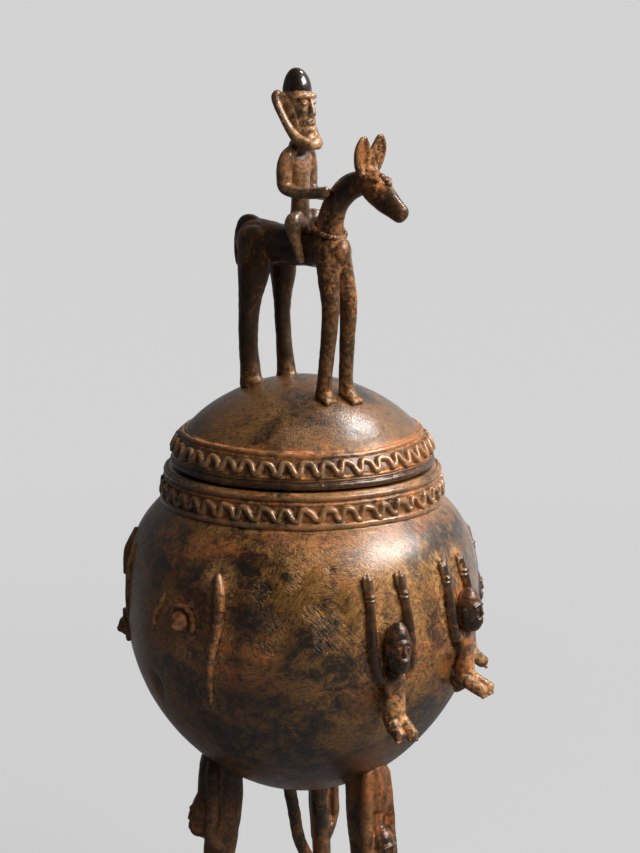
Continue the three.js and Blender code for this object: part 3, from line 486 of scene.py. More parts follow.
def bronze(
    name,
    look,
    dark,
    brown,
    ochre,
    earth=1.0,
    polish=1.0,
    scratches=0.0,
    soot=0.25,
    rubbed_and_sheen_tone=1.0,
    wear=0.6,
    coat=0.0,
    coat_roughness=0.27,
    cast=1.0,
    gloss=0.6,
    rust=1.0,
    smear=(0.7, 0.7, 2.2),
):
    """Patinated bronze. Dark, brown and light brown patches come from noise. Earth lies where the
    'hollow' and 'earth' attributes say, ochre or, by patches, black to the share given for soot and
    shade: the black is soot and painted shade of the recesses. Reddish smears, stretched by `smear`,
    lie in patches and where 'stain' says, strokes of three slants where `scratches` is above 0, and
    dark soot and painted shade where their attribute says. Raised places are rubbed bare, their
    lighter tone partly a painted highlight. The bumps of the casting are scaled by `cast`, and a
    clear coat makes the highlights."""
    s = Shader(name)
    broad = s.noise(19, 4, 0.62, distortion=0.4)
    patches = s.noise(85, 7, 0.72, distortion=0.8)
    fine = s.noise(430, 5, 0.72)
    grain = s.noise(1500, 3, 0.6)
    speckled = s.range(fine, 0.4, 0.58, 0.35, 1.0)

    # Patina: dark and brown patches, lighter worn ones, and dark freckles
    mottle = s.math("ADD", s.math("MULTIPLY", broad, 0.6), s.math("MULTIPLY", patches, 0.4))
    tone = s.mix(s.range(mottle, 0.44, 0.55), colour(dark), colour(brown))
    worn = s.range(s.noise(120, 7, 0.75, distortion=0.4), 0.46, 0.7, 0.0, wear)
    tone = s.mix(worn, tone, colour(brown, 1.8))
    freckles = s.range(s.noise(560, 5, 0.78), 0.5, 0.62, 0.0, 0.8)
    tone = s.mix(freckles, tone, colour(dark))

    # Earth in the hollows, in two tones of ochre, with patches of black: soot and painted shade of the
    # recesses
    mottled = s.math("ADD", s.math("MULTIPLY", patches, 0.45), s.math("MULTIPLY", fine, 0.55))
    hollow = s.attribute("hollow")
    held = s.math("MULTIPLY", s.math("MAXIMUM", hollow, 0.0), 1.1 * earth)
    dirt = s.math("ADD", held, s.math("MULTIPLY", s.attribute("earth"), earth))
    dirt = s.math("MULTIPLY", dirt, s.range(mottled, 0.42, 0.57, 0.1, 1.3), clamp=True)
    lodged = s.mix(s.range(fine, 0.35, 0.62), colour(ochre, 0.55), colour(ochre))
    low, high = 0.56 - 0.4 * soot, 0.68 - 0.4 * soot
    # black patches in the hollows: partly soot, partly painted shade of the recesses
    black = s.range(s.noise(210, 5, 0.7), low, high, 0.0, 0.9 * min(1, 2.5 * soot))
    tone = s.mix(dirt, tone, s.mix(black, lodged, colour(dark, 0.8)))

    # Reddish smears and stains
    reddish = tinted(look.ochre, 1.0, 0.68, 0.5)
    smears = s.noise(38, 7, 0.74, s.stretched(smear), 0.9)
    rusty = s.math("MULTIPLY", s.range(smears, 0.52, 0.6), look.rust * rust)
    rusty = s.math("MULTIPLY", rusty, s.range(fine, 0.4, 0.58, 0.2, 1.0), clamp=True)
    tone = s.mix(rusty, tone, colour(reddish))
    stain = s.math("MULTIPLY", s.attribute("stain"), s.range(smears, 0.38, 0.56), clamp=True)
    tone = s.mix(s.math("MULTIPLY", stain, speckled), tone, colour(reddish, 1.5))
    dirt = s.math("MAXIMUM", dirt, rusty)

    # Strokes scratched in three slants, each slant in zones of its own
    if scratches:
        slants = ((0, 0.6, 0.3), (0, -0.75, 0.2), (0.1, 1.35, 0))
        fans = [s.noise(75, 3, 0.75, s.stretched((15, 15, 0.9), slant)) for slant in slants]
        first = s.range(s.noise(34, 2, 0.5), 0.47, 0.53)
        second = s.range(s.noise(45, 2, 0.5), 0.5, 0.56)
        strokes = s.range(s.mix(second, s.mix(first, fans[0], fans[1]), fans[2]), 0.36, 0.64)
        cut = s.math("MULTIPLY", s.range(strokes, 0.5, 0.1), 0.55 * scratches)
        tone = s.mix(cut, tone, colour(dark, 0.9))

    # Raised places rubbed bare, their lighter tone partly a painted highlight, then soot and painted
    # shade
    raised = s.math("MAXIMUM", s.math("MULTIPLY", hollow, -1.0), 0.0)
    rubbed = s.math("MULTIPLY", s.math("MULTIPLY", raised, polish, clamp=True), speckled)
    tone = s.mix(s.math("MULTIPLY", rubbed, 0.7), tone, colour(look.bare, rubbed_and_sheen_tone))
    # Darker where the soot attribute says: real soot in some places, and painted shade between the
    # bands' wave cords and on the legs' tops under the bowl
    patchy = s.range(mottled, 0.36, 0.56, 0.35, 1.0)
    sooty = s.math("MULTIPLY", s.attribute("soot"), patchy, clamp=True)
    tone = s.mix(sooty, tone, colour(dark, 0.7))

    rough = s.range(mottle, 0.4, 0.6, look.roughness - 0.05, look.roughness + 0.08)
    rough = s.math("ADD", rough, s.math("MULTIPLY", dirt, 0.3))
    rough = s.math("SUBTRACT", rough, s.math("MULTIPLY", rubbed, 0.1), clamp=True)

    # Bumps: lumps of the casting, its grain, sparse pits, and the strokes
    normal = s.bump(s.noise(150, 5, 0.65), 0.35 * cast, 0.0009)
    sand = s.math("ADD", fine, s.math("MULTIPLY", grain, 0.5))
    normal = s.bump(sand, 0.4 * cast, 0.0005, normal)
    sparse = s.range(s.noise(60, 2, 0.5), 0.46, 0.58, 1.0, 0.0)
    pits = s.math("MAXIMUM", s.range(s.cells(330), 0.0, 0.24), sparse)
    normal = s.bump(pits, 0.7 * cast, 0.0005, normal)
    inputs = s.principled.inputs
    if scratches:
        normal = s.bump(strokes, scratches, 0.00022, normal)
        gentle = s.bump(strokes, 0.5 * scratches, 0.00009)
        s.link(s.bump(fine, 0.1, 0.0003, gentle), inputs["Coat Normal"])
    for socket, value in (
        ("Base Color", tone),
        ("Roughness", rough),
        ("Metallic", s.range(dirt, 0.0, 0.9, look.metallic, 0.08)),
        ("Specular IOR Level", s.range(dirt, 0.0, 0.9, gloss, 0.3 * gloss)),
        ("Specular Tint", (1.0, 0.92, 0.85, 1.0)),
        ("Coat Weight", coat),
        ("Coat IOR", 1.6),
        ("Coat Roughness", coat_roughness),
        ("Normal", normal),
    ):
        s.link(value, inputs[socket])
    return s.material


# Settings


def tone_setting(name, description, default):
    return bpy.props.FloatVectorProperty(
        name=name, description=description, subtype="COLOR", size=3, default=default
    )


def share_setting(name, description, default):
    return bpy.props.FloatProperty(
        name=name, description=description, subtype="FACTOR", min=0, max=1, default=default
    )


def number_setting(name, description, default, least=0.0, most=1000.0, unit="NONE"):
    return bpy.props.FloatProperty(
        name=name, description=description, min=least, max=most, unit=unit, default=default
    )


class BRONZEBOX_PG_look(bpy.types.PropertyGroup):
    """Colours and finish of the bronze."""

    dark: tone_setting("Dark patina", "Black-brown of the handled patina", (0.02, 0.012, 0.0075))
    brown: tone_setting("Brown patina", "Warm brown of the bare casting", (0.32, 0.14, 0.047))
    # The bare tone, lightened per material, also serves as a painted highlight on raised places
    bare: tone_setting("Bare bronze", "Metal where raised work is rubbed bare", (0.3, 0.17, 0.08))
    ochre: tone_setting("Ochre earth", "Earth lodged round the raised work", (0.48, 0.205, 0.068))
    metallic: share_setting("Metallic", "How metallic the clean bronze is", 0.28)
    roughness: share_setting("Roughness", "Middle roughness of the patina", 0.33)
    rust: share_setting("Rust patches", "Strength of the reddish patches", 0.75)


class BRONZEBOX_PG_size(bpy.types.PropertyGroup):
    """Sizes of the cast relief that a user would change, in millimetres."""

    arm: number_setting("Relief arm", "Half thickness of a relief figure's arm", 2.6, 1, 4)
    cord: number_setting("Wave cord", "Half width of the wavy cord of the bands", 1.65, 0.8, 2.5)
    relief: number_setting("Wave relief", "How far the wavy cord stands up", 2.1, 0.5, 2.5)
    grain: number_setting("Skin grain", "Spacing of the melted skins' faces", 0.5, 0.3, 2)


class BRONZEBOX_PG_stage(bpy.types.PropertyGroup):
    """Background, lamps and camera."""

    background: tone_setting("Background", "Grey of the background", (0.66, 0.66, 0.658))
    key: number_setting("Key lamp", "Power of the large lamp on the right", 32.5, unit="POWER")
    fill: number_setting("Fill lamp", "Power of the soft lamp on the left", 0.3, unit="POWER")
    sky: number_setting("Sky", "Strength of the even light from all round", 0.035)
    lens: number_setting("Lens", "Focal length on a 36 mm tall picture", 142.27, 20, unit="CAMERA")
    elevation: number_setting(
        "Camera height",
        "Angle of the camera above the horizontal",
        math.radians(12.3),
        -math.pi / 2,
        math.pi / 2,
        "ROTATION",
    )


def settings():
    scene = bpy.context.scene
    return scene.bronze_box_look, scene.bronze_box_size, scene.bronze_box_stage


def finish_piece(made, body, material, nodes):
    """Gives a new piece its material, body and slot, and lets it stand for its CAD nodes."""
    made.data.materials.clear()
    made.data.materials.append(material)
    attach(made, body)
    if nodes:
        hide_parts(*nodes)


def near_lines(points, lines):
    """Distance of each point from the nearest sample of some curves."""
    nearest = np.full(len(points), 1e9)
    for line in lines:
        for centre in line:
            nearest = np.minimum(nearest, np.linalg.norm(points - centre, axis=1))
    return nearest


# Relief figures: places and proportions, nearly as in the CAD source

FIGURES = {
    "front_right": dict(azimuth=30, shoulders=185, head=28, relief=9.5, lean=-4, spread=10.5, reach=105),
    "right": dict(azimuth=62, shoulders=196.5, head=24, relief=10, lean=-6, spread=10, reach=107),
    "back_right": dict(azimuth=110, shoulders=188, head=25, relief=8, lean=3, spread=11, reach=102),
    "back": dict(azimuth=164, shoulders=186, head=26, relief=8, lean=-3, spread=11.5, reach=100),
    "back_left": dict(azimuth=-138, shoulders=190, head=24, relief=8, lean=2, spread=11, reach=104),
    "left": dict(azimuth=-86, shoulders=183, head=16, relief=4.0, lean=2, spread=12, reach=0),
    "front_left": dict(azimuth=-41, shoulders=202, head=16, relief=5, lean=3, spread=17, reach=0),
}
HAND_HEIGHT = 235.0
WORN_ARMS = {
    # rows of sideways place, height, distance out and thickness as a share of an arm's
    "front_left": (
        (
            (20.5, 236, 0.4, 0.7), (22.6, 228, 1.0, 1.05), (22.4, 214, 1.2, 1.1),
            (18.6, 198, 0.9, 0.95), (16, 184, 0.5, 0.8), (13.8, 171, 0.0, 0.6)
        ),
        ((-22, 203, 0.2, 0.55), (-20.5, 209, 0.6, 0.7), (-17, 215, 0.4, 0.6), (-13, 222, -0.2, 0.5)),
    ),
    "left": (
        ((10, 236, -0.9, 0.8), (12, 224, -0.7, 0.9), (12.5, 209, -0.9, 0.8), (11, 199, -1.2, 0.7)),
        ((-5, 241, -0.2, 0.6), (-6.5, 230, 0.4, 0.9), (-7, 218, 0.0, 0.7)),
    ),
}


def on_bowl(sideways, height, out, *size):
    """A point on the bowl: sideways along it, at a height, standing out from its surface."""
    radius = float(bowl_radius_at(height)) + out
    turn = sideways / BOWL_RADIUS
    return [radius * math.sin(turn), -radius * math.cos(turn), height, *size]


def arm_stations(figure, side, arm):
    """Stations of a raised arm from the shoulder to the wrist and hand."""
    length = HAND_HEIGHT - figure["shoulders"]
    rows = []
    for share, width, out, size in (
        (-0.02, 0.42, 0.8, 0.95),
        (0.05, 0.8, 1.0, 1.0),
        (0.27, 1.0, 1.2, 1.04),
        (0.45, 1.0, 1.1, 0.98),
        (0.66, 0.96, 1.0, 0.9),
        (0.84, 0.9, 0.8, 0.86),
        (1.0, 0.87, 0.5, 1.0),
    ):
        sideways = figure["lean"] * share + side * width * figure["spread"]
        rows.append(on_bowl(sideways, figure["shoulders"] + share * length, out, size * arm))
    return rows


def face_shapes(centre, width, height, depth):
    """A plain face on an egg-shaped head that looks towards -Y: brow, nose, closed eyes, ears,
    lips and chin. The head is an ellipsoid, and the features are small shapes on its front."""
    x, y, z = centre

    def at(across, ahead, up, *size):
        return (x + across * width, y - ahead * depth, z + up * height, *size)

    brow = [
        at(-0.62, 0.8, 0.22, 0.12 * width),
        at(0, 0.97, 0.3, 0.13 * width),
        at(0.62, 0.8, 0.22, 0.12 * width),
    ]
    nose = [at(0, 0.93, 0.26, 0.1 * width, 0.12 * depth), at(0, 1.08, -0.12, 0.2 * width, 0.2 * depth)]
    shapes = [
        blob(centre, (width, depth, height)),
        blob(at(0, 0.42, -0.42), (0.72 * width, 0.72 * depth, 0.5 * height)),
        limb(brow, facing=MINUS_Y, rings=12, sides=10),
        limb(nose, facing=MINUS_Y, rings=8, sides=10),
    ]
    eye = (0.2 * width, 0.14 * depth, 0.09 * height)
    ear = (0.13 * width, 0.22 * depth, 0.2 * height)
    for side in (-1, 1):
        shapes.append(blob(at(side * 0.38, 0.86, 0.06), eye, 14))
        shapes.append(blob(at(side * 0.98, 0.1, 0), ear, 12))
    for level, thick in ((-0.36, 0.075), (-0.5, 0.07)):
        places = ((-0.32, 0.98), (0, 1.1), (0.32, 0.98))
        lip = [at(across, ahead, level, thick * height) for across, ahead in places]
        shapes.append(limb(lip, facing=MINUS_Y, rings=10, sides=8))
    return shapes


def hand_shapes(hand, wrist, arm):
    """Three bent fingers on a raised hand, and two rings round the wrist under it."""
    shapes = []
    for finger in (-1, 0, 1):
        rise = 2 + 0.8 * (1 - abs(finger))
        stations = [
            (*(hand + [finger * 0.5 * arm, -0.5 * arm, -6.5]), 0.42 * arm),
            (*(hand + [finger * 0.85 * arm, -0.42 * arm, -2]), 0.4 * arm),
            (*(hand + [finger * 0.95 * arm, 0.2, rise]), 0.32 * arm),
        ]
        shapes.append(limb(stations, facing=MINUS_Y, rings=10, sides=8))
    for ring in (-1.6, 0.6):
        shapes.append(blob(wrist + [0, -0.2 * arm, ring], (1.2 * arm, 1.0 * arm, 0.4 * arm), 14))
    return shapes


def body_shapes(shoulders, reach):
    """Torso and bent legs of a whole figure, standing out from the bowl to `reach`."""
    chest = float(bowl_radius_at(shoulders)) + 2.5
    hips = shoulders - 16.5
    torso = [
        (0, -chest + 1, shoulders + 3, 4.6, 3),
        (0, -chest, shoulders - 2, 6.2, 3.1),
        (0, -chest - 0.5, shoulders - 8, 5.6, 3.4),
        (0, -chest + 0.5, hips, 5.9, 5),
        (0, -chest - 0.5, hips - 6, 5, 5.6),
    ]
    seat = [(0, -chest + 5, hips - 6, 2.2, 4), (0, -chest + 2, hips - 10, 2, 5.2)]
    shapes = [
        limb(torso, facing=MINUS_Y, rings=30, sides=24),
        limb(seat, facing=MINUS_Y, rings=8, sides=12),
    ]
    for side in (-1, 1):
        thigh = [
            (side * 2.8, -chest + 1.5, hips - 2, 3, 3.8),
            (side * 3.3, -chest - 2.5, hips - 5.5, 3.3, 3.6),
            (side * 3.6, -reach + 3.6, hips - 9.5, 3.3, 3.4),
        ]
        shapes.append(limb(thigh, facing=MINUS_Y, rings=18, sides=16))
        for toe in (-1, 0, 1):
            root = (side * 3.6 + toe * 1.8, -reach + 4.4, hips - 9.4, 1.2)
            tip = (side * 3.6 + toe * 1.9, -reach + 2.2, hips - 12.2, 1.0)
            shapes.append(limb([root, tip], rings=5, sides=8))
    return shapes


def nub_shapes(middle, out):
    """What wear has left of a head: a nub with a small ridge down it, inside a raised ring."""
    x, y, z = on_bowl(0, middle - 1, out)
    angles = np.linspace(-0.9, 3.6, 10)
    ring = [on_bowl(7.6 * math.cos(a), middle - 1 + 7.6 * math.sin(a), 0.3, 1.5) for a in angles]
    ridge = [(x, y - 2.4, middle, 2.2), (x, y - 3.6, middle - 3, 2.2)]
    return [
        blob((x, y, z), (4.8, 4.8, 5.4), 20),
        limb(ring, facing=MINUS_Y, rings=30, sides=10),
        limb(ridge, rings=6, sides=10),
    ]


def figure_shapes(name, figure, arm):
    """One relief figure in its own frame, facing -Y: raised arms joined by the collarbone, a head,
    and, where it isn't worn away, a torso and bent legs that stand out from the bowl."""
    shoulders, head = figure["shoulders"], figure["head"]
    shapes = []
    worn = WORN_ARMS.get(name, ())
    for rows in worn:
        stations = [on_bowl(*place, share * arm) for *place, share in rows]
        shapes.append(limb(stations, facing=MINUS_Y, rings=40, sides=16))
    if not worn:
        for side in (-1, 1):
            stations = arm_stations(figure, side, arm)
            shapes.append(limb(stations, facing=MINUS_Y, rings=44, sides=16))
            shapes += hand_shapes(np.array(stations[-1][:3]), np.array(stations[-2][:3]), arm)
        half = 0.44 * figure["spread"]
        collar = [
            on_bowl(-half, shoulders - 0.9, 0.7, arm),
            on_bowl(0, shoulders - 2.4, 0.9, 1.05 * arm),
            on_bowl(half, shoulders - 0.9, 0.7, arm),
        ]
        shapes.append(limb(collar, facing=MINUS_Y, rings=14, sides=14))
    middle = shoulders + 2 + head / 2
    out = figure["relief"] - 6
    if not figure["reach"]:
        return shapes + nub_shapes(middle, 2 * out + 3.6)
    shapes += face_shapes(on_bowl(0, middle, out), 6.8, 0.49 * head, 6.4)
    return shapes + body_shapes(shoulders, figure["reach"])


class BRONZEBOX_OT_relief(bpy.types.Operator):
    """Relief figures round the belly: limbs and ellipsoids melted into one skin each."""

    bl_idname = "bronze_box.relief"
    bl_label = "Relief Figures"

    def execute(self, context):
        look, sizes, _ = settings()
        material = bronze(
            "relief_bronze",
            look,
            look.dark,
            tinted(look.brown, 0.42),
            tinted(look.ochre, 1.2, 1.35, 1.6),
            soot=0.2,
            rubbed_and_sheen_tone=0.7,
            wear=0.8,
            gloss=0.6,
            coat=0.5,
        )
        for seed, (name, figure) in enumerate(FIGURES.items()):
            shape = joined(figure_shapes(name, figure, sizes.arm))
            shape = moved(shape, turn_z, figure["azimuth"])
            made = modelled(f"relief_{name}", shape, 0.8 * sizes.grain, 4, 0.16, seed)
            x, y, z = positions(made.data).T
            lift = np.hypot(x, y) - bowl_radius_at(z)
            shoulders, whole = figure["shoulders"], figure["reach"] > 0
            low = 0.85 * smoothstep(shoulders + 2, shoulders - 12, z) if whole else 0.7
            high = smoothstep(shoulders + 1, shoulders + 5, z) * smoothstep(1.5, 4, lift)
            write_attributes(
                made,
                earth=np.maximum(low, 0.9 * (1 - smoothstep(0.4, 3.2, lift))),
                soot=(0.55 if whole else 0.25) * high,
            )
            finish_piece(made, "bowl", material, [f"relief_figure_{name}"])
        return {"FINISHED"}


# Bowl


def superellipse(radius, rise, power, angle):
    """Points of one half of the bowl's meridian: radius cos^(2/p) of an angle, and the widest
    level plus the rise times sin^(2/p)."""
    height = WIDEST + rise * np.sin(angle) ** (2 / power)
    return np.stack([radius * np.cos(angle) ** (2 / power), height], axis=-1)


def bowl_profile():
    """Outside from the bottom up, over the mouth and down the inside to the bottom again."""
    belly = superellipse(BOWL_RADIUS, -DEPTH, BELLY_POWER, np.linspace(np.pi / 2, 0, 120))
    height = np.linspace(WIDEST, COLLAR_FOOT, 80)[1:]
    shoulder = np.stack([bowl_radius_at(height - 1e-6), height], axis=-1)
    outside = arc_resampled(np.vstack([belly, shoulder]), 134)[1:]
    chamfer = 0.8
    neck = [
        [COLLAR_FOOT_RADIUS, COLLAR_FOOT],
        [COLLAR_TOP_RADIUS, COLLAR_TOP - chamfer],
        [COLLAR_TOP_RADIUS - chamfer, COLLAR_TOP],
    ]
    mouth = [
        [MOUTH_RADIUS + chamfer, COLLAR_TOP],
        [MOUTH_RADIUS, COLLAR_TOP - chamfer],
        [MOUTH_RADIUS, MOUTH_FOOT],
    ]
    inner = BOWL_RADIUS - WALL
    top = np.arccos((MOUTH_RADIUS / inner) ** (SHOULDER_POWER / 2))
    vault = superellipse(inner, SHOULDER, SHOULDER_POWER, np.linspace(top, 0, 14)[1:])
    well = superellipse(inner, WALL - DEPTH, BELLY_POWER, np.linspace(0, np.pi / 2, 20)[1:-1])
    neck = arc_resampled(np.array(neck), 8)[1:]
    return np.vstack([outside, neck, mouth, vault, well]), len(outside)


DENTS = (
    # azimuth, height, half width, half height, depth
    (-58.3, 171.6, 4.2, 6.5, 2.2),
    (-18.7, 154.4, 6, 4, 0.8),
    (9.6, 241, 1.7, 1.7, 0.7),
    (-30, 236, 9, 5, 0.7),
    (-3, 226, 26, 16, 0.45),
    (12, 176, 30, 18, 0.5),
    (75, 140, 20, 16, 0.5),
    (140, 215, 24, 18, 0.5),
    (-110, 160, 22, 20, 0.5),
)


def bells_on_bowl(points, rows):
    """For each row, its strength times a bell in azimuth and height round its place."""
    azimuth = np.degrees(np.arctan2(points[:, 0], -points[:, 1]))
    bells = []
    for angle, height, wide, tall, strength in rows:
        aside = np.radians((azimuth - angle + 180) % 360 - 180) * BOWL_RADIUS / wide
        bells.append(strength * np.exp(-(aside**2) - ((points[:, 2] - height) / tall) ** 2))
    return bells


STAINS = (
    # azimuth, height, half width, half height and strength of the rust there
    (-14, 198, 15, 3, 1.0),
    (-24, 190, 5, 16, 0.8),
    (-30, 205, 4, 14, 0.6),
    (-42, 205, 24, 26, 0.45),
    (-3, 114, 34, 5, 1.0),
    (58, 205, 26, 24, 0.4),
    (-45, 246, 30, 8, 0.4),
    (12, 252, 40, 5, 0.35),
    (-62, 166, 9, 12, 0.5),
    (22, 190, 8, 30, 0.3),
)

SOOT = (
    # azimuth, height, half width, half height and strength of the soot there
    (-15, 218, 20, 9, 0.85),
    (-58.3, 171.6, 4, 6, 0.8),
    (-20, 176, 24, 8, 0.75),
    (-34, 150, 18, 12, 0.5),
    (-52, 226, 8, 12, 0.5),
    (-3, 200, 8, 20, 0.5),
    (14, 130, 26, 10, 0.6),
    (4, 160, 12, 8, 0.5),
)


def figure_lines():
    """Samples along every relief figure's body and arms, on the bowl's surface."""
    lines = []
    for name, figure in FIGURES.items():
        foot = figure["shoulders"] - (30 if figure["reach"] else 4)
        top = figure["shoulders"] + figure["head"] / 2 + 8
        body = [on_bowl(0, height, 0) for height in np.arange(foot, top, 3)]
        arms = [[on_bowl(*row[:2], 0) for row in rows] for rows in WORN_ARMS.get(name, ())]
        arms = arms or [arm_stations(figure, side, 2.5) for side in (-1, 1)]
        arms = [row[:3] for rows in arms for row in curve_through(rows, 16)]
        lines.append(turn_z(np.array(body + arms, float), figure["azimuth"]))
    return lines


class BRONZEBOX_OT_bowl(bpy.types.Operator):
    """Bowl: its meridian turned round the axis, moved in and out by lumps and dents."""

    bl_idname = "bronze_box.bowl"
    bl_label = "Bowl"

    def execute(self, context):
        look, _, _ = settings()
        profile, outer = bowl_profile()
        columns = 560
        grid = ring_points(profile, columns)
        flat = grid[:outer].reshape(-1, 3)
        z = flat[:, 2]
        push = 0.3 * lumps(flat, 62, 3) + 0.12 * lumps(flat, 17, 4)
        for bell in bells_on_bowl(flat, DENTS):
            push -= bell
        outward = unit(flat * [1, 1, 0])
        outward[:, 2] = np.clip((z - WIDEST) / DEPTH, -1, 1) * 0.8
        outward = unit(outward)
        fade = np.minimum(smoothstep(COLLAR_FOOT, COLLAR_FOOT - 6, z), smoothstep(104, 112, z))
        pushed = flat + outward * (push * fade - 0.28 * fade)[:, None]
        grid[:outer] = pushed.reshape(outer, columns, 3)
        poles = [[0, 0, WIDEST - DEPTH], [0, 0, WIDEST - DEPTH + WALL]]
        made = mesh_object("bowl_skin", closed_tube(grid, poles))
        point = positions(made.data)
        x, y, z = point.T
        earth = 0.95 * (1 - smoothstep(3.5, 12, near_lines(point, figure_lines())))
        earth += 0.5 * smoothstep(COLLAR_FOOT - 5, COLLAR_FOOT, z)
        write_attributes(
            made,
            earth=np.where(np.hypot(x, y) < bowl_radius_at(z) - 3, 0.15, earth),
            stain=np.max(bells_on_bowl(point, STAINS), axis=0),
            soot=np.max(bells_on_bowl(point, SOOT), axis=0),
        )
        material = bronze(
            "bowl_bronze", look, look.dark, tinted(look.brown, 1.12, 1.15, 0.7),
            tinted(look.ochre, 1.3, 1.55, 1.6), soot=0.12, rust=0.7, earth=0.9, polish=0.8,
            scratches=0.9, cast=0.3, gloss=0.5, coat=1.0
        )
        finish_piece(made, "bowl", material, ["bowl_shell", "bowl_shoulder"])
        return {"FINISHED"}


# Bands with their wavy cords


def wave_height(turn, along, waves, radius, crest, cord, relief, seed):
    """Height of the wavy cord: relief times (1 - (d / w)^3)^0.7, d being the distance from a
    centre line, crest tanh(2 sin phase) / tanh(2), whose phase, size, place and w vary."""
    random = np.random.default_rng(seed)
    count = 16
    total = waves * count
    steps = np.arange(total)

    def varied(low, high):
        knots = random.uniform(low, high, 2 * waves)
        return np.interp(steps / (count / 2), np.arange(2 * waves + 1), np.append(knots, knots[0]))

    phase = 2 * np.pi * steps / count
    phase = phase + 0.65 * np.sin(phase + 0.4) + varied(-0.4, 0.4)
    line_along = crest * varied(0.82, 1.12) * np.tanh(2 * np.sin(phase)) / math.tanh(2)
    line_along += varied(-0.3, 0.3)
    line_turn = 2 * np.pi * (steps + count * varied(-0.05, 0.05)) / total
    width = cord * varied(0.82, 1.14)
    nearest = np.full(turn.shape, 1e9)
    slot = np.round(turn / (2 * np.pi) * total).astype(int)

    def from_line(k):
        aside = ((turn - line_turn[k] + np.pi) % (2 * np.pi) - np.pi) * radius
        return aside, along - line_along[k]

    for offset in range(-13, 14):
        k = (slot + offset) % total
        ax, ay = from_line(k)
        bx, by = from_line((k + 1) % total)
        dx, dy = ax - bx, ay - by
        t = np.clip((ax * dx + ay * dy) / np.maximum(dx * dx + dy * dy, 1e-9), 0, 1)
        nearest = np.minimum(nearest, np.hypot(ax - t * dx, ay - t * dy) / width[k])
    return relief * np.clip(1 - nearest**3, 0, 1) ** 0.7


def bead(along, centre, half, size):
    """Half-round bead across the band: size times the root of 1 - ((along - centre) / half)^2."""
    return size * np.sqrt(np.clip(1 - ((along - centre) / half) ** 2, 0, 1))


def band_ring(face, columns, height_of, thickness=0.35):
    """A closed ring whose face follows a profile of radius and height. The face is moved out
    along its own normal by height_of(turn, along), and the back lies `thickness` inside it."""
    rows = len(face)
    step = np.concatenate([[0], np.cumsum(np.linalg.norm(np.diff(face, axis=0), axis=1))])
    slope = unit(np.gradient(face, axis=0))
    normal = np.stack([slope[:, 1], -slope[:, 0]], axis=-1)
    turn = np.linspace(0, 2 * np.pi, columns, endpoint=False)
    along = np.repeat(step[:, None], columns, axis=1)
    lift = height_of(np.repeat(turn[None], rows, axis=0), along)
    every = max(1, rows // 8)
    back = face[::-1][::every] - normal[::-1][::every] * thickness
    lift = np.vstack([lift, np.zeros((len(back), columns))])
    face, normal = np.vstack([face, back]), np.vstack([normal, np.zeros_like(back)])
    radius = face[:, :1] + normal[:, :1] * lift
    height = face[:, 1:] + normal[:, 1:] * lift
    points = np.stack([radius * np.sin(turn), -radius * np.cos(turn), height], axis=-1)
    faces = ring_faces(len(points), columns)
    return (points.reshape(-1, 3), faces, np.empty((0, 3), int)), lift.ravel()


def uneven(turn, along, amount, seed):
    """Slow and quick unevenness round a band, in millimetres."""
    flat = np.stack([np.cos(turn) * 70, np.sin(turn) * 70, along], axis=-1).reshape(-1, 3)
    return amount * (lumps(flat, 24, seed) + 0.6 * lumps(flat, 6, seed + 1)).reshape(turn.shape)


def band_lift(turn, along, beads, wave, sizes, wobble, seeds):
    """How far a band stands out: the higher of its beads and its wavy cord, a little uneven.
    A bead is its centre, half width, height and sway, and a wave is its centre, count, mean
    radius and crest."""
    level = along + uneven(turn, along, 0.3, seeds[1])
    swaying = np.sin(3 * turn + 0.5)
    height = 0.1 + sum(bead(level + sway * swaying, *row) for *row, sway in beads)
    centre, *shape = wave
    cord = wave_height(turn, along - centre, *shape, sizes.cord, sizes.relief, seeds[2])
    cord = 0.1 + cord * (1 + uneven(turn, along, 0.12, seeds[3]))
    return np.maximum(height, cord) + uneven(turn, along, wobble, seeds[0])


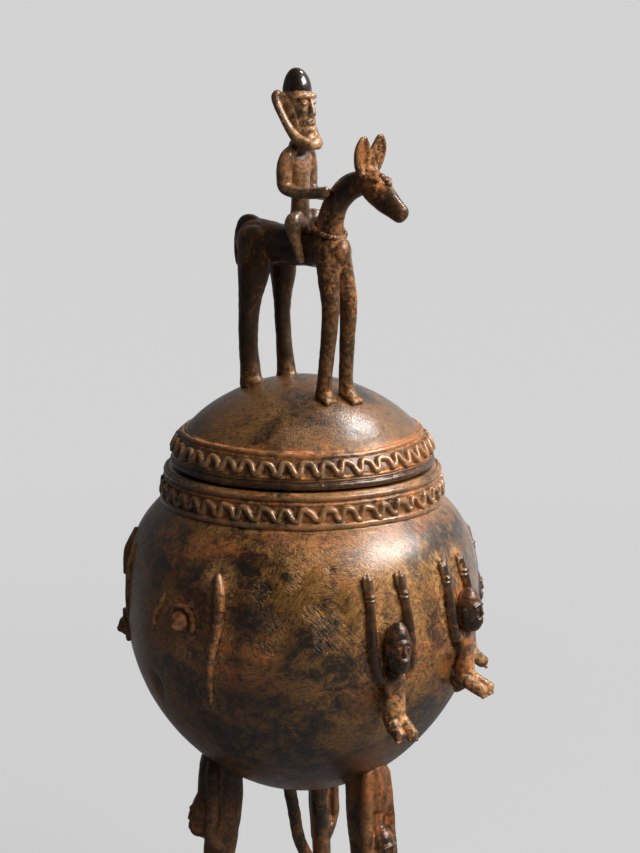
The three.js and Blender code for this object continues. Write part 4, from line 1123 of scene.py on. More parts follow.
class BRONZEBOX_OT_bands(bpy.types.Operator):
    """Bands of the collar and the lid: ridge, wavy cord, thin cords and lip on one ring each."""

    bl_idname = "bronze_box.bands"
    bl_label = "Bands"

    def execute(self, context):
        look, sizes, _ = settings()
        material = bronze(
            "band_bronze", look, look.dark, look.brown, tinted(look.ochre, 1.45), polish=1.1, soot=0.28,
            rubbed_and_sheen_tone=1.25, cast=0.8, gloss=0.6, coat=0.5
        )
        length = COLLAR_TOP - COLLAR_FOOT
        ends = [[COLLAR_FOOT_RADIUS, COLLAR_FOOT - 0.6], [COLLAR_TOP_RADIUS, COLLAR_TOP]]

        def collar(turn, along):
            beads = ((2.2, 1.9, 1.5, 0), (12.9, 0.9, 0.7, 0), (16.0, 1.6, 1.35, 0))
            wave = (7.8, 43, 70, 2.75)
            lift = band_lift(turn, along, beads, wave, sizes, 0.16, (21, 31, 5, 61))
            edge = smoothstep(0, 0.5, along) * smoothstep(length + 0.6, length - 0.3, along)
            return lift * edge

        shape, lifts = band_ring(arc_resampled(np.array(ends), 78), 1100, collar)
        made = mesh_object("collar_band", shape)
        z = positions(made.data)[:, 2]
        waves = 1 - smoothstep(3.2, 4.4, abs(z - 264.8))
        clear = 1 - 0.5 * smoothstep(268, 272, z)
        write_attributes(
            made,
            earth=0.85 * clear * (1 - smoothstep(0.5, 1.5, lifts)),
            hollow=-0.9 * smoothstep(0.9, 1.7, lifts),
            # Dark ground between the wave cords: painted shade in their pockets
            soot=0.42 * waves * (1 - smoothstep(0.3, 1.2, lifts)),
        )
        nodes = ["collar_ridge", "collar_cord", "collar_lip", "collar_wave"]
        finish_piece(made, "bowl", material, nodes)

        inner_edge = 58.4
        radius = np.linspace(inner_edge, LID_RIM_RADIUS, 60)
        slope = np.stack([radius, dome_height_at(radius)], axis=-1)
        face = arc_resampled(np.vstack([slope, [[LID_RIM_RADIUS, LID_UNDERSIDE - 1.2]]]), 84)[::-1]
        length = float(np.linalg.norm(np.diff(face, axis=0), axis=1).sum())

        def lid(turn, along):
            crown = (length - 2.6, 1.3, 1.2, 0.7)
            beads = ((1.9, 1.9, 1.8, 0), (4.5, 0.7, 0.6, 0), (6.0, 0.75, 0.7, 0), crown)
            wave = (10.4, 40, 62, 2.7)
            lift = band_lift(turn, along, beads, wave, sizes, 0.15, (41, 51, 6, 62))
            edge = smoothstep(0, 0.4, along) * smoothstep(length, length - 1.0, along)
            return lift * edge

        shape, lifts = band_ring(face, 1000, lid)
        made = mesh_object("lid_band", shape)
        z = positions(made.data)[:, 2]
        clear = smoothstep(279.5, 282.5, z)
        waves = smoothstep(283.4, 284.8, z) * smoothstep(291.6, 290.2, z)
        # Dark low ground between the wave cords: painted shade in their pockets
        between = 0.75 * waves * (1 - smoothstep(0.3, 1.2, lifts))
        write_attributes(
            made,
            soot=np.maximum(0.85 * (1 - clear), between),
            earth=0.85 * clear * (1 - smoothstep(0.5, 1.5, lifts)),
            hollow=-0.9 * (0.25 + 0.75 * clear) * smoothstep(0.9, 1.7, lifts),
        )
        nodes = ["lid_ridge", "lid_cord", "lid_rim_bead", "lid_wave"]
        finish_piece(made, "lid", material, nodes)
        return {"FINISHED"}


# Lid


class BRONZEBOX_OT_dome(bpy.types.Operator):
    """Domed lid: its profile turned round the axis, with slow lumps on its outside."""

    bl_idname = "bronze_box.dome"
    bl_label = "Lid"

    def execute(self, context):
        look, _, _ = settings()
        spigot = MOUTH_RADIUS - 1
        bore = spigot - 3.5
        radius = LID_RIM_RADIUS * np.cos(np.linspace(0, np.pi / 2, 120)[:-1]) ** 0.8
        crown = arc_resampled(np.stack([radius, dome_height_at(radius)], axis=-1), 110)
        ring_foot, ring_top, chamfer = 266.3, 275.3, 0.6
        edge = [
            [bore, ring_foot + chamfer],
            [bore + chamfer, ring_foot],
            [spigot - chamfer, ring_foot],
            [spigot, ring_foot + chamfer],
            [spigot, ring_top],
            [LID_RIM_RADIUS - 1, ring_top],
            [LID_RIM_RADIUS - 1, LID_UNDERSIDE],
            [LID_RIM_RADIUS, LID_UNDERSIDE],
            [LID_RIM_RADIUS, LID_UNDERSIDE + 3.2],
        ]
        share = np.linspace(0, 1, 26)[:0:-1]
        radius = (LID_RIM_RADIUS - LID_WALL) * np.cos(share * np.pi / 2) ** 0.8
        inside = np.stack([radius, dome_height_at(radius) - LID_WALL], axis=-1)
        inside = inside[(radius < bore) & (radius > 0.5)]
        grid = ring_points(np.vstack([inside, edge, crown]), 480)
        outer = grid[-len(crown) :]
        flat = outer.reshape(-1, 3)
        push = 0.25 * lumps(flat, 48, 8) + 0.1 * lumps(flat, 14, 9) - 0.25
        push *= smoothstep(LID_RIM_RADIUS, 60, np.hypot(flat[:, 0], flat[:, 1]))
        outer[..., 2] += push.reshape(outer.shape[:2])
        poles = [[0, 0, DOME_TOP - LID_WALL], [0, 0, float(grid[-1, :, 2].mean())]]
        made = mesh_object("dome_skin", closed_tube(grid, poles))
        x, y, z = positions(made.data).T
        distance = np.hypot(x, y)
        hooves = ((-26, 8), (-8, 12), (10, -24), (20, -18))
        near = np.min([np.hypot(x - across, y - back) for across, back in hooves], axis=0)
        earth = 0.5 * (1 - smoothstep(4, 11, near)) + 0.5 * smoothstep(54, 58.5, distance)
        write_attributes(made, earth=np.where(z < dome_height_at(distance) - 2, 0.1, earth))
        material = bronze(
            "dome_bronze", look, look.dark, tinted(look.brown, 0.62, 0.64, 0.5), look.ochre, earth=0.9,
            polish=0.8, scratches=0.7, cast=0.25, gloss=0.5, coat=1.0, coat_roughness=0.2, rust=0.45
        )
        finish_piece(made, "lid", material, ["lid_dome"])
        return {"FINISHED"}


# Legs


def underside_at(radius):
    """Height of the bowl's underside at a distance from its axis."""
    return WIDEST - DEPTH * (1 - (radius / BOWL_RADIUS) ** BELLY_POWER) ** (1 / BELLY_POWER)


LEGS = {
    # azimuth, height of the middle of its head, breadth as a share, and painted shade on its upper part
    # under the bowl
    "left": (-73.5, 94, 0.97, 0.75),
    "right": (48, 82, 1.0, 0.0),
    "back": (168, 80, 0.68, 0.4),
}
LEG_TOP_RADIUS = 39.0
LEG_FOOT_RADIUS = 54.0
LEG_TOP = underside_at(LEG_TOP_RADIUS)
ARM_SEAT = 49.0


def leg_shapes(middle):
    """A leg in its own frame, facing -Y: a post, and on its outer side a head whose raised arms
    reach the bowl, with feet under it."""

    def axis_at(height):
        return LEG_FOOT_RADIUS + (LEG_TOP_RADIUS - LEG_FOOT_RADIUS) * height / LEG_TOP

    def post(share, wide, deep, extra=0):
        height = share * LEG_TOP + extra
        return (0, -axis_at(height), height, 7.2 * wide, 8 * deep)

    face = axis_at(middle) + 18.5
    half = 13
    chin = middle - half
    seat = underside_at(ARM_SEAT)
    posts = [
        post(0, 1.2, 1.12, 2), post(0.08, 1.1, 1), post(0.3, 0.95, 0.92), post(0.62, 1, 1.04),
        post(0.85, 1.1, 1.1), post(1, 1.1, 0.8, 3)
    ]
    neck = [(0, -face + 11, chin + 2, 3.4), (0, -axis_at(chin - 8) - 3, chin - 8, 4.4)]
    web = [
        (0, -0.5 * (ARM_SEAT + LEG_TOP_RADIUS) - 1, seat - 1, 8, 9),
        (0, -ARM_SEAT + 1.5, seat - 9, 7.5, 8), (0, -ARM_SEAT - 1, seat - 18, 6.5, 6)
    ]
    fill = [
        (0, -0.5 * (axis_at(seat - 16) + ARM_SEAT) - 1.5, seat - 14, 7.5, 7),
        (0, -0.5 * (axis_at(middle + 6) + face - 8) - 1, middle + 5, 6.5, 6.5)
    ]
    shapes = [
        limb(posts, facing=MINUS_Y, rings=60, sides=28, blunt=0.3),
        *face_shapes((0, -face + 8, middle), 7.6, half, 7.2),
        limb(neck, facing=MINUS_Y, rings=10),
        limb(web, facing=MINUS_Y, rings=24),
        limb(fill, facing=MINUS_Y, rings=20),
    ]
    for side in (-1, 1):
        arm = [
            (side * 5.4, -axis_at(middle) - 3, chin - 6, 2.8),
            (side * 8.4, -face + 9, middle - 0.7 * half, 3.2),
            (side * 8.8, -face + 10, middle + 0.3 * half, 3.3),
            (side * 7.4, -ARM_SEAT - 1, seat - 7, 3.3), (side * 6, -ARM_SEAT, seat - 0.5, 3.3)
        ]
        foot = [
            (side * 4, -LEG_FOOT_RADIUS - 2, 3.7, 4.2, 3.6),
            (side * 5, -LEG_FOOT_RADIUS - 10, 3.2, 4.3, 3)
        ]
        shapes += [limb(arm, facing=MINUS_Y, rings=40, sides=16), limb(foot, rings=12)]
        for toe in (-1, 0, 1):
            root = (side * 5 + toe * 2.5, -LEG_FOOT_RADIUS - 9, 2.6, 1.6)
            tip = (side * 5 + toe * 2.7, -LEG_FOOT_RADIUS - 12.4, 2.1, 1.4)
            shapes.append(limb([root, tip], rings=5, sides=10))
    return shapes


def narrowed(points, breadth, azimuth):
    """Points scaled sideways by a share, and turned to their azimuth."""
    return turn_z(points * [breadth, 1, 1], azimuth)


class BRONZEBOX_OT_legs(bpy.types.Operator):
    """Figure legs and the brace, each melted from limbs and ellipsoids."""

    bl_idname = "bronze_box.legs"
    bl_label = "Legs"

    def execute(self, context):
        look, sizes, _ = settings()
        material = bronze(
            "leg_bronze", look, look.dark, tinted(look.brown, 0.8), tinted(look.ochre, 0.8, 0.55, 0.5),
            rubbed_and_sheen_tone=0.5, wear=0.8, coat=0.4, smear=(2, 2, 0.6)
        )
        for seed, (name, (azimuth, middle, breadth, soot)) in enumerate(LEGS.items(), 60):
            shape = moved(joined(leg_shapes(middle)), narrowed, breadth, azimuth)
            made = modelled(f"leg_{name}", shape, 1.1 * sizes.grain, 4, 0.25, seed)
            point = positions(made.data)
            write_positions(made.data, np.maximum(point, [-1e9, -1e9, 0.0]))
            made.data.update()
            z = point[:, 2]
            earth = 0.3 * smoothstep(95, 115, z) + 0.15 * smoothstep(12, 2, z)
            # Upper part, under the bowl, darkened as painted shade, most on the left leg, away from the
            # key lamp
            write_attributes(made, earth=earth, soot=soot * smoothstep(88, 110, z))
            finish_piece(made, "bowl", material, [f"figure_leg_{name}"])
        stations = [(-8.8, 13, 109, 3.5), (-4.9, 25, 83, 3.3), (-1.6, 34, 62, 3.3), (7.5, 45, 40, 3.5)]
        brace = limb(stations, facing=PLUS_X, rings=40)
        made = modelled("brace_skin", brace, 1.2 * sizes.grain, 3, 0.2, 70)
        finish_piece(made, "bowl", material, ["back_brace"])
        return {"FINISHED"}


# Horse and rider, in the horse's own frame: x forward, y to its left, z up from the dome's top

HEADING = 43.0
FORWARD = 4.0
SIDEWAYS = -6.0
BACK = 75.8
BARREL = 19.2
REAR = -40.0
FRONT = 31.0
BELLY = BACK - BARREL / 2
HIP = REAR + 14
SHOULDER_X = FRONT - 7
HIND = 9.3
FORE = 6.2
POLL = FRONT + 12.5
POLL_HEIGHT = BACK + 29


def on_lid(points):
    """Horse's frame to the box's: moved forward and aside, turned and set on the dome."""
    placed = turn_z(points + [FORWARD, SIDEWAYS, 0], -HEADING)
    return placed + [0, 0, DOME_TOP]


def off_lid(points):
    """The box's frame to the horse's."""
    return turn_z(points - [0, 0, DOME_TOP], HEADING) - [FORWARD, SIDEWAYS, 0]


def horse_shapes():
    """Body, legs, neck, head, ears and tail as limbs and ellipsoids."""

    def trunk(share, rise, half_depth, half_width):
        x = REAR + share * (FRONT - REAR)
        return (x, 0, BELLY + rise, half_width, half_depth * BARREL / 2)

    body = [
        trunk(0.02, 0.2, 0.55, 5), trunk(0.06, -0.4, 0.95, 8.5), trunk(0.13, -0.2, 1.18, 11.2),
        trunk(0.26, -0.2, 1.16, 11.2), trunk(0.4, 0, 1.04, 9.4), trunk(0.56, 0.1, 0.98, 8.5),
        trunk(0.72, 1, 1.03, 8.6), trunk(0.84, 1, 1.06, 9), trunk(0.91, 0.6, 0.95, 8.2),
        trunk(0.95, 0.2, 0.7, 6.4)
    ]
    shapes = [limb(body, rings=60, sides=36)]
    # each leg: x from the hip or shoulder, sideways as a share, height, half width and half depth
    for start, aside, rows in (
        (
            HIP, -HIND,
            (
                (1, 0.62, BELLY + 3, 7.6, 10), (2, 0.85, BELLY - 11, 6.8, 9.8),
                (0.2, 0.98, 0.55 * BELLY, 5.5, 6.1), (-0.9, 1, 0.27 * BELLY, 5, 5),
                (0.5, 1, 3, 5.2, 5.3), (1.2, 1, -5.5, 5.8, 6.2)
            )
        ),
        (
            HIP, HIND,
            (
                (5, 0.62, BELLY + 3, 7.4, 9.2), (6.5, 0.85, BELLY - 12, 6, 8.2),
                (5.4, 0.98, 0.55 * BELLY, 4.4, 4.8), (5.6, 1, 0.33 * BELLY, 4, 4.1),
                (7.7, 1, 2, 4.6, 4.7), (8, 1, -4, 5.4, 5.8)
            )
        ),
        (
            SHOULDER_X, -FORE,
            (
                (-2, 0.6, BELLY + 2, 6, 7.4), (0.6, 0.86, BELLY - 13, 5, 5.7),
                (2.6, 0.97, 0.6 * BELLY, 4.4, 4.7), (1.4, 1, 0.36 * BELLY, 4, 4),
                (-0.9, 1, 6, 3.8, 3.8), (-2.2, 1, -6, 4.1, 4.3)
            )
        ),
        (
            SHOULDER_X, FORE,
            (
                (-2.5, 0.6, BELLY + 2, 6, 7.4), (1, 0.86, BELLY - 13, 5, 5.6),
                (3.3, 0.97, 0.6 * BELLY, 4.4, 4.8), (2.5, 1, 0.33 * BELLY, 3.9, 4),
                (1.6, 1, 5, 3.7, 3.7), (2.2, 1, -7, 4, 4.2)
            )
        ),
    ):
        stations = [(start + x, share * aside, *size) for x, share, *size in rows]
        shapes.append(limb(stations, facing=PLUS_X, rings=48, sides=24))
    for side, x, drop, reach in ((-1, SHOULDER_X - 3, 0, 4.2), (1, SHOULDER_X + 2, -1.2, 4.6)):
        y = side * (FORE + 0.4)
        foot = [(x, side * FORE, -4 + drop, 4.2, 3.8), (x + reach, y, -6 + drop, 4.2, 3)]
        shapes.append(limb(foot, rings=12))
        for toe in (-1, 0, 1):
            root = (x + reach - 1, y + toe * 2.6, -5.9 + drop, 1.6)
            tip = (x + reach + 2.4, y + side * 0.2 + toe * 2.8, -7.8 + drop, 1.4)
            shapes.append(limb([root, tip], rings=6, sides=10))
    for x, y in ((HIP + 1.5, -HIND), (HIP + 8, HIND)):
        shapes.append(limb([(x, y, -3, 5, 4), (x + 4.6, y, -3.6, 4.2, 2.8)], rings=10))
    neck = [
        (FRONT - 15.5, 0, BELLY + 3, 6, 8), (FRONT - 12, 0, BACK - 1, 7.4, 8.2),
        (FRONT - 9.4, 0, BACK + 8.1, 6, 6.8), (FRONT - 5.2, 0, BACK + 16.2, 5.6, 6.5),
        (FRONT + 3.7, 0, BACK + 24, 5.6, 6.6), (POLL + 1.5, 0, POLL_HEIGHT - 1.5, 5.4, 6)
    ]
    shapes.append(limb(neck, facing=PLUS_X, rings=40, sides=28))

    def head(share, lift, half_width, half_depth):
        return (POLL + share * 24.4, 0, POLL_HEIGHT - share * 16.4 + lift, half_width, half_depth)

    stations = [
        head(-0.04, 0.2, 4.6, 5), head(0.1, 0.9, 6, 7), head(0.34, 0.6, 6, 7.8), head(0.58, 0, 5, 6.9),
        head(0.8, 0.3, 4.4, 5.7), head(0.97, 0.7, 4.1, 4.8)
    ]
    shapes.append(limb(stations, rings=44, sides=28))
    root = POLL_HEIGHT + 2
    ear_rim = (
        (2.3, 3.9, 0.6, -1, 1.6), (2.9, 5.1, 3.4, 6, 1.5), (3.9, 5.8, 3.8, 12.5, 1.4),
        (4.8, 6, 0.9, 18.6, 1.2)
    )
    ear_leaf = (
        (1.6, 3.9, -1, 2.4, 1.6), (1.6, 5.1, 6, 4.4, 1.3), (2.7, 5.8, 12.5, 4.7, 1.3),
        (4.0, 6, 17.4, 3, 1.1)
    )
    for side in (-1, 1):
        shapes.append(blob((POLL + 11, side * 4.9, POLL_HEIGHT - 3.2), (2.6, 1.7, 1.9), 16))
        shapes.append(blob((POLL + 9.5, side * 4.2, POLL_HEIGHT + 0.4), (4.4, 1.6, 1.3), 16))
        shapes.append(blob((POLL + 23, side * 2.6, POLL_HEIGHT - 13.8), (1.6, 1.2, 1.3), 12))
        for edge in (-1, 1):
            rim = [(POLL + x, side * y + edge * out, root + z, size) for x, y, out, z, size in ear_rim]
            shapes.append(limb(rim, facing=PLUS_X, rings=26, sides=12))
        leaf = [(POLL + x, side * y, root + z, *size) for x, y, z, *size in ear_leaf]
        shapes.append(limb(leaf, facing=PLUS_X, rings=26, sides=18))
    tail = [
        (HIP - 1, 0, BACK - 2.4, 2.8), (REAR + 7, 0, BACK + 0.4, 3), (REAR + 1.4, 0, BACK - 1.2, 3),
        (REAR - 1.4, 0, BACK - 7.5, 2.8), (REAR - 2.2, 0, BACK - 15, 2.6),
        (REAR - 1.6, 0, BACK - 22, 2.2)
    ]
    shapes.append(limb(tail, rings=40, sides=18))
    return shapes


def cord_ring(centre, radius, thick, lean, strands, twists):
    """A twisted ring: a circle leaning about Y whose section radius is thick times
    1 + 0.08 cos(strands angle - twists turn)."""
    rings, sides = 240, 24
    turn = np.linspace(0, 2 * np.pi, rings, endpoint=False)[:, None]
    angle = np.linspace(0, 2 * np.pi, sides, endpoint=False)[None]
    size = thick * (1 + 0.08 * np.cos(strands * angle - twists * turn))
    distance = radius + size * np.cos(angle)
    x, y, z = distance * np.cos(turn), distance * np.sin(turn), size * np.sin(angle)
    cosine, sine = math.cos(lean), math.sin(lean)
    placed = np.stack([x * cosine + z * sine, y, z * cosine - x * sine], axis=-1)
    vertices = (placed + centre).reshape(-1, 3)
    return vertices, ring_faces(rings, sides), np.empty((0, 3), int)


RIDER_X = 0.5
RIDER_CROWN = BACK + 78.8
RIDER_HEAD = 38.8


def on_head(rows, side=1):
    """Stations or a centre of the rider's head: forward, aside, height as a share of the head
    from the crown down, and sizes."""
    return [
        (RIDER_X + ahead, side * aside, RIDER_CROWN - RIDER_HEAD * share, *size)
        for ahead, aside, share, *size in rows
    ]


def rider_shapes():
    """Torso, arms and legs of the rider."""
    x = RIDER_X
    top = BACK + 37
    torso = [
        (x, 0, BACK - 1, 6, 6.6), (x, 0, BACK + 3, 5.6, 6.6), (x, 0, BACK + 10.4, 4.5, 4.9),
        (x, 0, BACK + 20.3, 4.5, 4.9), (x - 0.6, 0, BACK + 28.6, 4.9, 6.2),
        (x - 1.5, 0, BACK + 34.5, 4.6, 8.4), (x - 2.1, 0, top + 0.8, 4, 6.6),
        (x - 2, 0, top + 4.5, 4, 4.4)
    ]
    shapes = [limb(torso, facing=PLUS_Y, rings=56, sides=28)]
    wrist = FRONT - 8
    for side, elbow, drop in ((-1, -2.8, 17), (1, -2, 19.2)):
        rows = (
            # forward, outward as a share, down as a share, half thickness
            (-1.4, 0.5, -0.1, 3.1),
            (-1.6, 0.88, 0.06, 3.5),
            (0.3 * elbow - 1.5, 1.04, 0.34, 3.7),
            (0.9 * elbow, 1.04, 0.68, 3.6),
            (0.7 * elbow, 1.0, 0.93, 3.4),
            (0.1 * wrist, 0.95, 1.04, 3.2),
            (0.4 * wrist, 0.9, 1.05, 2.9),
            (0.72 * wrist, 0.82, 1.02, 2.8),
            (wrist, 0.7, 0.96, 3),
        )
        arm = [(x + ahead, side * out * 9, top - down * drop, size) for ahead, out, down, size in rows]
        shapes.append(limb(arm, facing=PLUS_Y, rings=60, sides=20))
    for side, start, seat in ((-1, x + 0.5, BACK), (1, x + 0.6, BACK + 0.5)):
        rows = (
            # forward, outward as a share, up, half thickness
            (0, 0.2, 3, 4.6),
            (1.6, 0.55, 4.4, 4.5),
            (3.6, 0.86, 2.6, 4.1),
            (5.6, 0.92, -2.5, 3.1),
            (7.2, 0.86, -8.5, 2.5),
            (8.4, 0.8, -14, 2.1),
        )
        leg = [(start + ahead, side * out * 11.6, seat + up, size) for ahead, out, up, size in rows]
        shapes.append(limb(leg, facing=PLUS_X, rings=40, sides=20))
    return shapes


def head_shapes():
    """The rider's head below the cap, facing forward: a long face with a plain brow, nose,
    closed eyes and lips, and ears where the beard's ends lie."""
    skull = [
        (-1.6, 0, 1.02, 3.8, 3.9), (1, 0, 0.9, 5.6, 6.4), (1.3, 0, 0.76, 6.4, 7.2),
        (0.2, 0, 0.56, 7, 7.4), (-1.3, 0, 0.38, 7.4, 7.4), (-2.5, 0, 0.22, 7, 7), (-2.9, 0, 0.12, 5, 5)
    ]
    brow = [
        (5, -5.4, 0.35, 1.1), (6.6, -2.6, 0.325, 1.2), (6.9, 0, 0.335, 1.2), (6.6, 2.6, 0.325, 1.2),
        (5, 5.4, 0.35, 1.1)
    ]
    nose = [(6.4, 0, 0.36, 1.1, 1.3), (7.6, 0, 0.46, 1.4, 1.6), (8.3, 0, 0.55, 2, 1.9)]
    upper_lip = [(6.2, -3.4, 0.685, 0.95), (8.7, 0, 0.665, 1.15), (6.2, 3.4, 0.685, 0.95)]
    lower_lip = [(6, -3.1, 0.745, 0.9), (8.6, 0, 0.75, 1.2), (6, 3.1, 0.745, 0.9)]
    shapes = [
        limb(on_head(skull), facing=PLUS_X, rings=40, sides=28),
        limb(on_head(brow), facing=PLUS_X, rings=24, sides=12),
        limb(on_head(nose), facing=PLUS_X, rings=20, sides=14),
        limb(on_head(upper_lip), facing=PLUS_X, rings=20, sides=12),
        limb(on_head(lower_lip), facing=PLUS_X, rings=20, sides=12),
        blob(*on_head([(6.2, 0, 0.87)]), (3.4, 4, 3)),
    ]
    ear = [(-3, 5, 0.38, 2.2, 3.4), (-5.6, 8.6, 0.36, 1.9, 3.2)]
    jaw = [
        (-4.4, 6.9, 0.36, 3.4, 1.5), (-2, 6.9, 0.52, 4.2, 1.5), (0.4, 6, 0.68, 4.2, 1.7),
        (2.6, 4.4, 0.82, 3.6, 1.9)
    ]
    for side in (-1, 1):
        shapes += [
            blob(*on_head([(5.7, 3.1, 0.42)], side), (1.5, 2, 1.3), 16),
            blob(*on_head([(8, 1.5, 0.56)], side), (1.3, 1, 1), 12),
            limb(on_head(ear, side), rings=12, sides=16),
            limb(on_head(jaw, side), facing=(0, side, 0), rings=24, sides=16),
        ]
    return shapes


def beard_shapes():
    """Beard: a raised ridge from one ear round the chin to the other."""
    rows = (
        (9.6, 0, 0.93, 3, 3.2), (8.2, 3.2, 0.935, 3, 3.2), (4.6, 5.8, 0.88, 3.1, 2.6),
        (0.8, 7.6, 0.75, 3, 2), (-2.6, 8.7, 0.6, 2.9, 1.9), (-5.4, 9.4, 0.46, 3, 2),
        (-7, 9.6, 0.35, 3, 2.3), (-6.6, 9, 0.3, 2.4, 2)
    )
    stations = on_head(rows[:0:-1], -1) + on_head(rows)
    return [limb(stations, facing=(1, 0, -0.3), rings=90, sides=16)]


def cap_shape():
    """Cap: a half egg, radius 7.3 (1 - h^2)^(1/2) at the share h of its height, with its edge
    lower at the back, closed below."""
    share = np.linspace(0, 1, 30)[:-1]
    radius = 7.3 * (1 - share**2) ** 0.5
    crown = BACK + 79.4
    tall = 12.4
    height = crown - tall * (1 - share)
    foot = height[0] - 0.5
    below = [[4, foot], [6.8, foot]]
    grid = ring_points(np.vstack([below, np.stack([radius, height], axis=-1)]), 48)
    grid[..., 2] += 0.16 * grid[..., 0] * (crown - grid[..., 2]) / tall
    grid[..., 0] -= 2.2 + 0.06 * (grid[..., 2] - crown)
    return closed_tube(grid, [[-2.2, 0, foot], [-2.2, 0, crown]])


class BRONZEBOX_OT_horse(bpy.types.Operator):
    """Horse: its limbs melted into one skin, with the twisted neck ring and the bridle knots."""

    bl_idname = "bronze_box.horse"
    bl_label = "Horse"

    def execute(self, context):
        look, sizes, _ = settings()
        material = bronze(
            "horse_bronze", look, look.dark, tinted(look.brown, 0.14), look.ochre, rubbed_and_sheen_tone=0.6,
            wear=0.8, gloss=0.5, coat=0.3, rust=0.6, smear=(2, 2, 0.6)
        )
        shape = moved(joined(horse_shapes()), on_lid)
        made = modelled("horse_skin", shape, 1.25 * sizes.grain, 5, 0.22, 80)
        x, _, z = off_lid(positions(made.data)).T
        feet = 0.6 * (1 - smoothstep(-2, 9, z))
        chest = 0.6 * smoothstep(FRONT - 16, FRONT - 9, x) * smoothstep(0.3 * BELLY, 0.8 * BELLY, z)
        chest *= 1 - smoothstep(BACK + 8, BACK + 22, z)
        forehead = smoothstep(POLL - 2, POLL + 4, x) * (1 - smoothstep(POLL + 14, POLL + 19, x))
        forehead *= smoothstep(BACK + 15, BACK + 24, z)
        fore = 0.28 * smoothstep(SHOULDER_X - 8, SHOULDER_X, x) * smoothstep(BACK - 2, BACK - 12, z)
        write_attributes(made, earth=np.max([feet, chest, forehead, fore], axis=0))
        legs = [f"{side}_{end}_leg" for end in ("hind", "fore") for side in ("right", "left")]
        nodes = ["body", *legs, "neck", "head", "right_ear", "left_ear", "tail"]
        finish_piece(made, "lid", material, [f"horse_{node}" for node in nodes])
        ring = cord_ring([FRONT - 11.4, 0, BACK + 1.2], 8.4, 1.35, 0.42, 2, 34)
        made = mesh_object("neck_ring_skin", moved(ring, on_lid))
        write_attributes(made, hollow=hollowness(made.data, 1) * 2, earth=0.35)
        finish_piece(made, "lid", material, ["horse_neck_ring"])
        slope = math.atan2(16.4, 25)
        knots = []
        for step in range(3):
            along, down = 2.7 * step * math.cos(slope), 2.97 * step * math.sin(slope)
            knot = (POLL + 11.2 + along, 0, POLL_HEIGHT + 1.9 - down)
            knots.append(blob(knot, (1.7, 1.9, 1.7), 14))
        shape = moved(joined(knots), on_lid)
        made = modelled("knots_skin", shape, 0.6 * sizes.grain, 2, 0.08, 84)
        write_attributes(made, earth=0.3)
        finish_piece(made, "lid", material, ["horse_bridle_knots"])
        return {"FINISHED"}


class BRONZEBOX_OT_rider(bpy.types.Operator):
    """Rider: body, head and beard, each melted from limbs and ellipsoids, and a turned cap."""

    bl_idname = "bronze_box.rider"
    bl_label = "Rider"

    def execute(self, context):
        look, sizes, _ = settings()
        # The rider's raised places are lightened strongly: rubbed bare bronze and a painted highlight
        material = bronze(
            "rider_bronze", look, look.dark, tinted(look.brown, 0.36),
            tinted(look.ochre, 1.4, 1.65, 2.1), soot=0.2, rubbed_and_sheen_tone=2.0, wear=1.0, gloss=0.7,
            coat=0.9, rust=0.6
        )
        shape = moved(joined(rider_shapes()), on_lid)
        made = modelled("rider_skin", shape, sizes.grain, 4, 0.15, 90)
        write_attributes(made, earth=0.3)
        parts = ["torso", "right_arm", "left_arm", "right_leg", "left_leg"]
        finish_piece(made, "lid", material, [f"rider_{part}" for part in parts])
        shape = moved(joined(head_shapes()), on_lid)
        made = modelled("rider_head_skin", shape, 0.62 * sizes.grain, 3, 0.08, 92)
        write_attributes(made, earth=0.55)
        finish_piece(made, "lid", material, ["rider_head"])
        shape = moved(joined(beard_shapes()), on_lid)
        made = modelled("beard_skin", shape, 0.7 * sizes.grain, 3, 0.1, 94)
        # Earth on the beard's faces turned in, none on those turned out: partly earth lodged by the
        # face, partly painted light inside the beard and painted shade on its outer side
        outward = turn_z(normals(made.data), HEADING)[:, 1]
        outward = outward * np.sign(off_lid(positions(made.data))[:, 1])
        write_attributes(made, earth=0.95 * smoothstep(0.75, 0.05, outward))
        finish_piece(made, "lid", material, ["rider_beard"])
        polished = bronze(
            "cap_bronze", look, tinted(look.dark, 0.5), look.dark, look.ochre, earth=0.0, polish=0.0,
            wear=0.0, coat=1.0, coat_roughness=0.12, gloss=0.2, rust=0.0
        )
        made = mesh_object("cap_skin", moved(cap_shape(), on_lid))
        finish_piece(made, "lid", polished, [])
        return {"FINISHED"}


# Stage

FLOOR_HALF = 12.0
BOUNCED_GREY = (0.12, 0.12, 0.12, 1.0)
LAMP_AIM = np.array([0, 0, 0.27])
CAMERA_AIM = (0.00893, 0.29393)
CAMERA_DISTANCE = 1.7


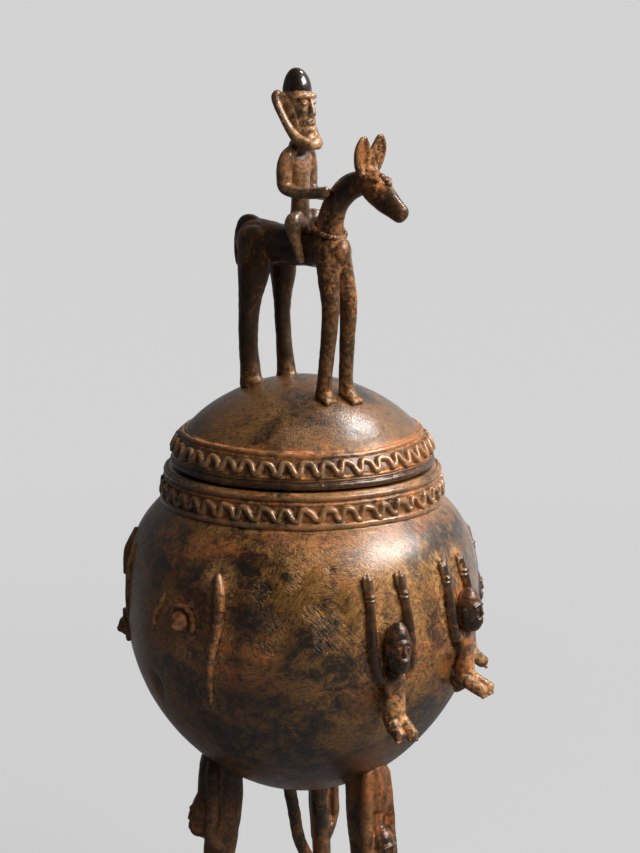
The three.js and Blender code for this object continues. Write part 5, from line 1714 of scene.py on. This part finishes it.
class BRONZEBOX_OT_stage(bpy.types.Operator):
    """Floor, even grey background, soft lamps and the camera at the photograph's angle."""

    bl_idname = "bronze_box.stage"
    bl_label = "Stage"

    def execute(self, context):
        _, _, stage = settings()
        scene = context.scene
        scene.view_settings.view_transform = "Standard"
        floor = bpy.data.meshes.new("floor")
        corners = [(x * FLOOR_HALF, y * FLOOR_HALF, 0) for x, y in ((-1, -1), (1, -1), (1, 1), (-1, 1))]
        floor.from_pydata(corners, [], [(0, 1, 2, 3)])
        ground = bpy.data.objects.new("floor", floor)
        scene.collection.objects.link(ground)
        s = Shader("floor_grey")
        s.principled.inputs["Roughness"].default_value = 0.9
        s.principled.inputs["Specular IOR Level"].default_value = 0.0
        glow = s.nodes.new("ShaderNodeEmission")
        glow.inputs["Color"].default_value = colour(stage.background)
        mixer = s.nodes.new("ShaderNodeMixShader")
        away = s.nodes.new("ShaderNodeVectorMath")
        away.operation = "LENGTH"
        s.links.new(s.place, away.inputs[0])
        x, y, _ = s.axes()
        mirrored = s.product(s.range(y, 0.2, 0.9), s.range(x, -0.7, 0.1, 0.15, 1.0))
        even = s.range(away.outputs["Value"], 0.25, 1.2, 0.86, 0.985)
        s.link(s.product(s.seen_directly(mirrored), even), mixer.inputs["Fac"])
        rays = s.nodes.new("ShaderNodeLightPath").outputs
        bounced = s.math("MAXIMUM", rays["Is Diffuse Ray"], rays["Is Glossy Ray"])
        grey = s.mix(bounced, colour(stage.background, 0.62), BOUNCED_GREY)
        s.link(grey, s.principled.inputs["Base Color"])
        s.links.new(s.principled.outputs["BSDF"], mixer.inputs[1])
        s.links.new(glow.outputs["Emission"], mixer.inputs[2])
        s.links.new(mixer.outputs["Shader"], s.nodes["Material Output"].inputs["Surface"])
        floor.materials.append(s.material)

        world = bpy.data.worlds.new("studio")
        world.use_nodes = True
        scene.world = world
        w = Nodes(world.node_tree, "Generated")
        backdrop = w.nodes["Background"]
        backdrop.inputs["Color"].default_value = colour(stage.background)
        even = w.nodes.new("ShaderNodeBackground")
        even.inputs["Strength"].default_value = stage.sky
        x, y, z = w.axes()
        mirrored = w.product(
            w.range(y, -0.7, 0.45, 0.05, 1.0), w.range(x, -0.5, 0.4, 0.1, 0.62),
            w.range(z, 0.45, 0.85, 1.0, 0.3)
        )
        pick = w.nodes.new("ShaderNodeMixShader")
        w.link(w.seen_directly(mirrored), pick.inputs["Fac"])
        w.links.new(even.outputs["Background"], pick.inputs[1])
        w.links.new(backdrop.outputs["Background"], pick.inputs[2])
        w.links.new(pick.outputs["Shader"], w.nodes["World Output"].inputs["Surface"])

        for name, azimuth, elevation, distance, wide, tall, power in (
            ("key", 73, 38, 1.6, 1.0, 0.6, stage.key),
            ("rim", 123, 55, 1.6, 0.22, 0.22, stage.key * 0.32),
            ("front", 36, 38, 1.8, 0.9, 0.9, stage.key * 0.48),
            ("fill", -70, 20, 2.0, 1.2, 1.2, stage.fill),
        ):
            a, e = math.radians(azimuth), math.radians(elevation)
            towards = np.array([math.sin(a) * math.cos(e), -math.cos(a) * math.cos(e), math.sin(e)])
            lamp = bpy.data.lights.new(name, "AREA")
            lamp.shape = "RECTANGLE"
            lamp.size = wide
            lamp.size_y = tall
            lamp.energy = power
            holder = bpy.data.objects.new(name, lamp)
            holder.location = LAMP_AIM + distance * towards
            holder.rotation_euler = (math.pi / 2 - e, 0, a)
            holder.visible_glossy = name != "front"
            scene.collection.objects.link(holder)

        camera = bpy.data.cameras.new("camera")
        camera.sensor_fit = "VERTICAL"
        camera.sensor_height = 36
        camera.lens = stage.lens
        camera.clip_end = 20
        holder = bpy.data.objects.new("camera", camera)
        e = stage.elevation
        across, height = CAMERA_AIM
        back, rise = CAMERA_DISTANCE * math.cos(e), CAMERA_DISTANCE * math.sin(e)
        holder.location = (across, -back, height + rise)
        holder.rotation_euler = (math.pi / 2 - e, 0, 0)
        scene.collection.objects.link(holder)
        scene.camera = holder
        return {"FINISHED"}


class BRONZEBOX_PT_panel(bpy.types.Panel):
    """Sidebar panel with the settings and one button for each operator."""

    bl_idname = "BRONZEBOX_PT_panel"
    bl_label = "Bronze Box"
    bl_space_type = "VIEW_3D"
    bl_region_type = "UI"
    bl_category = "Bronze Box"

    def draw(self, context):
        layout = self.layout
        for group in settings():
            box = layout.box()
            for name in group.__annotations__:
                box.prop(group, name)
        for operator in OPERATORS:
            layout.operator(operator.bl_idname)


OPERATORS = (
    BRONZEBOX_OT_bowl,
    BRONZEBOX_OT_bands,
    BRONZEBOX_OT_dome,
    BRONZEBOX_OT_relief,
    BRONZEBOX_OT_legs,
    BRONZEBOX_OT_horse,
    BRONZEBOX_OT_rider,
    BRONZEBOX_OT_stage,
)
GROUPS = (BRONZEBOX_PG_look, BRONZEBOX_PG_size, BRONZEBOX_PG_stage)


def register():
    for cls in (*GROUPS, *OPERATORS, BRONZEBOX_PT_panel):
        bpy.utils.register_class(cls)
    bpy.types.Scene.bronze_box_look = bpy.props.PointerProperty(type=BRONZEBOX_PG_look)
    bpy.types.Scene.bronze_box_size = bpy.props.PointerProperty(type=BRONZEBOX_PG_size)
    bpy.types.Scene.bronze_box_stage = bpy.props.PointerProperty(type=BRONZEBOX_PG_stage)


def unregister():
    del bpy.types.Scene.bronze_box_stage
    del bpy.types.Scene.bronze_box_size
    del bpy.types.Scene.bronze_box_look
    for cls in reversed((*GROUPS, *OPERATORS, BRONZEBOX_PT_panel)):
        bpy.utils.unregister_class(cls)


def main():
    register()
    for operator in OPERATORS:
        group, name = operator.bl_idname.split(".")
        getattr(getattr(bpy.ops, group), name)()


if __name__ == "__main__":
    main()
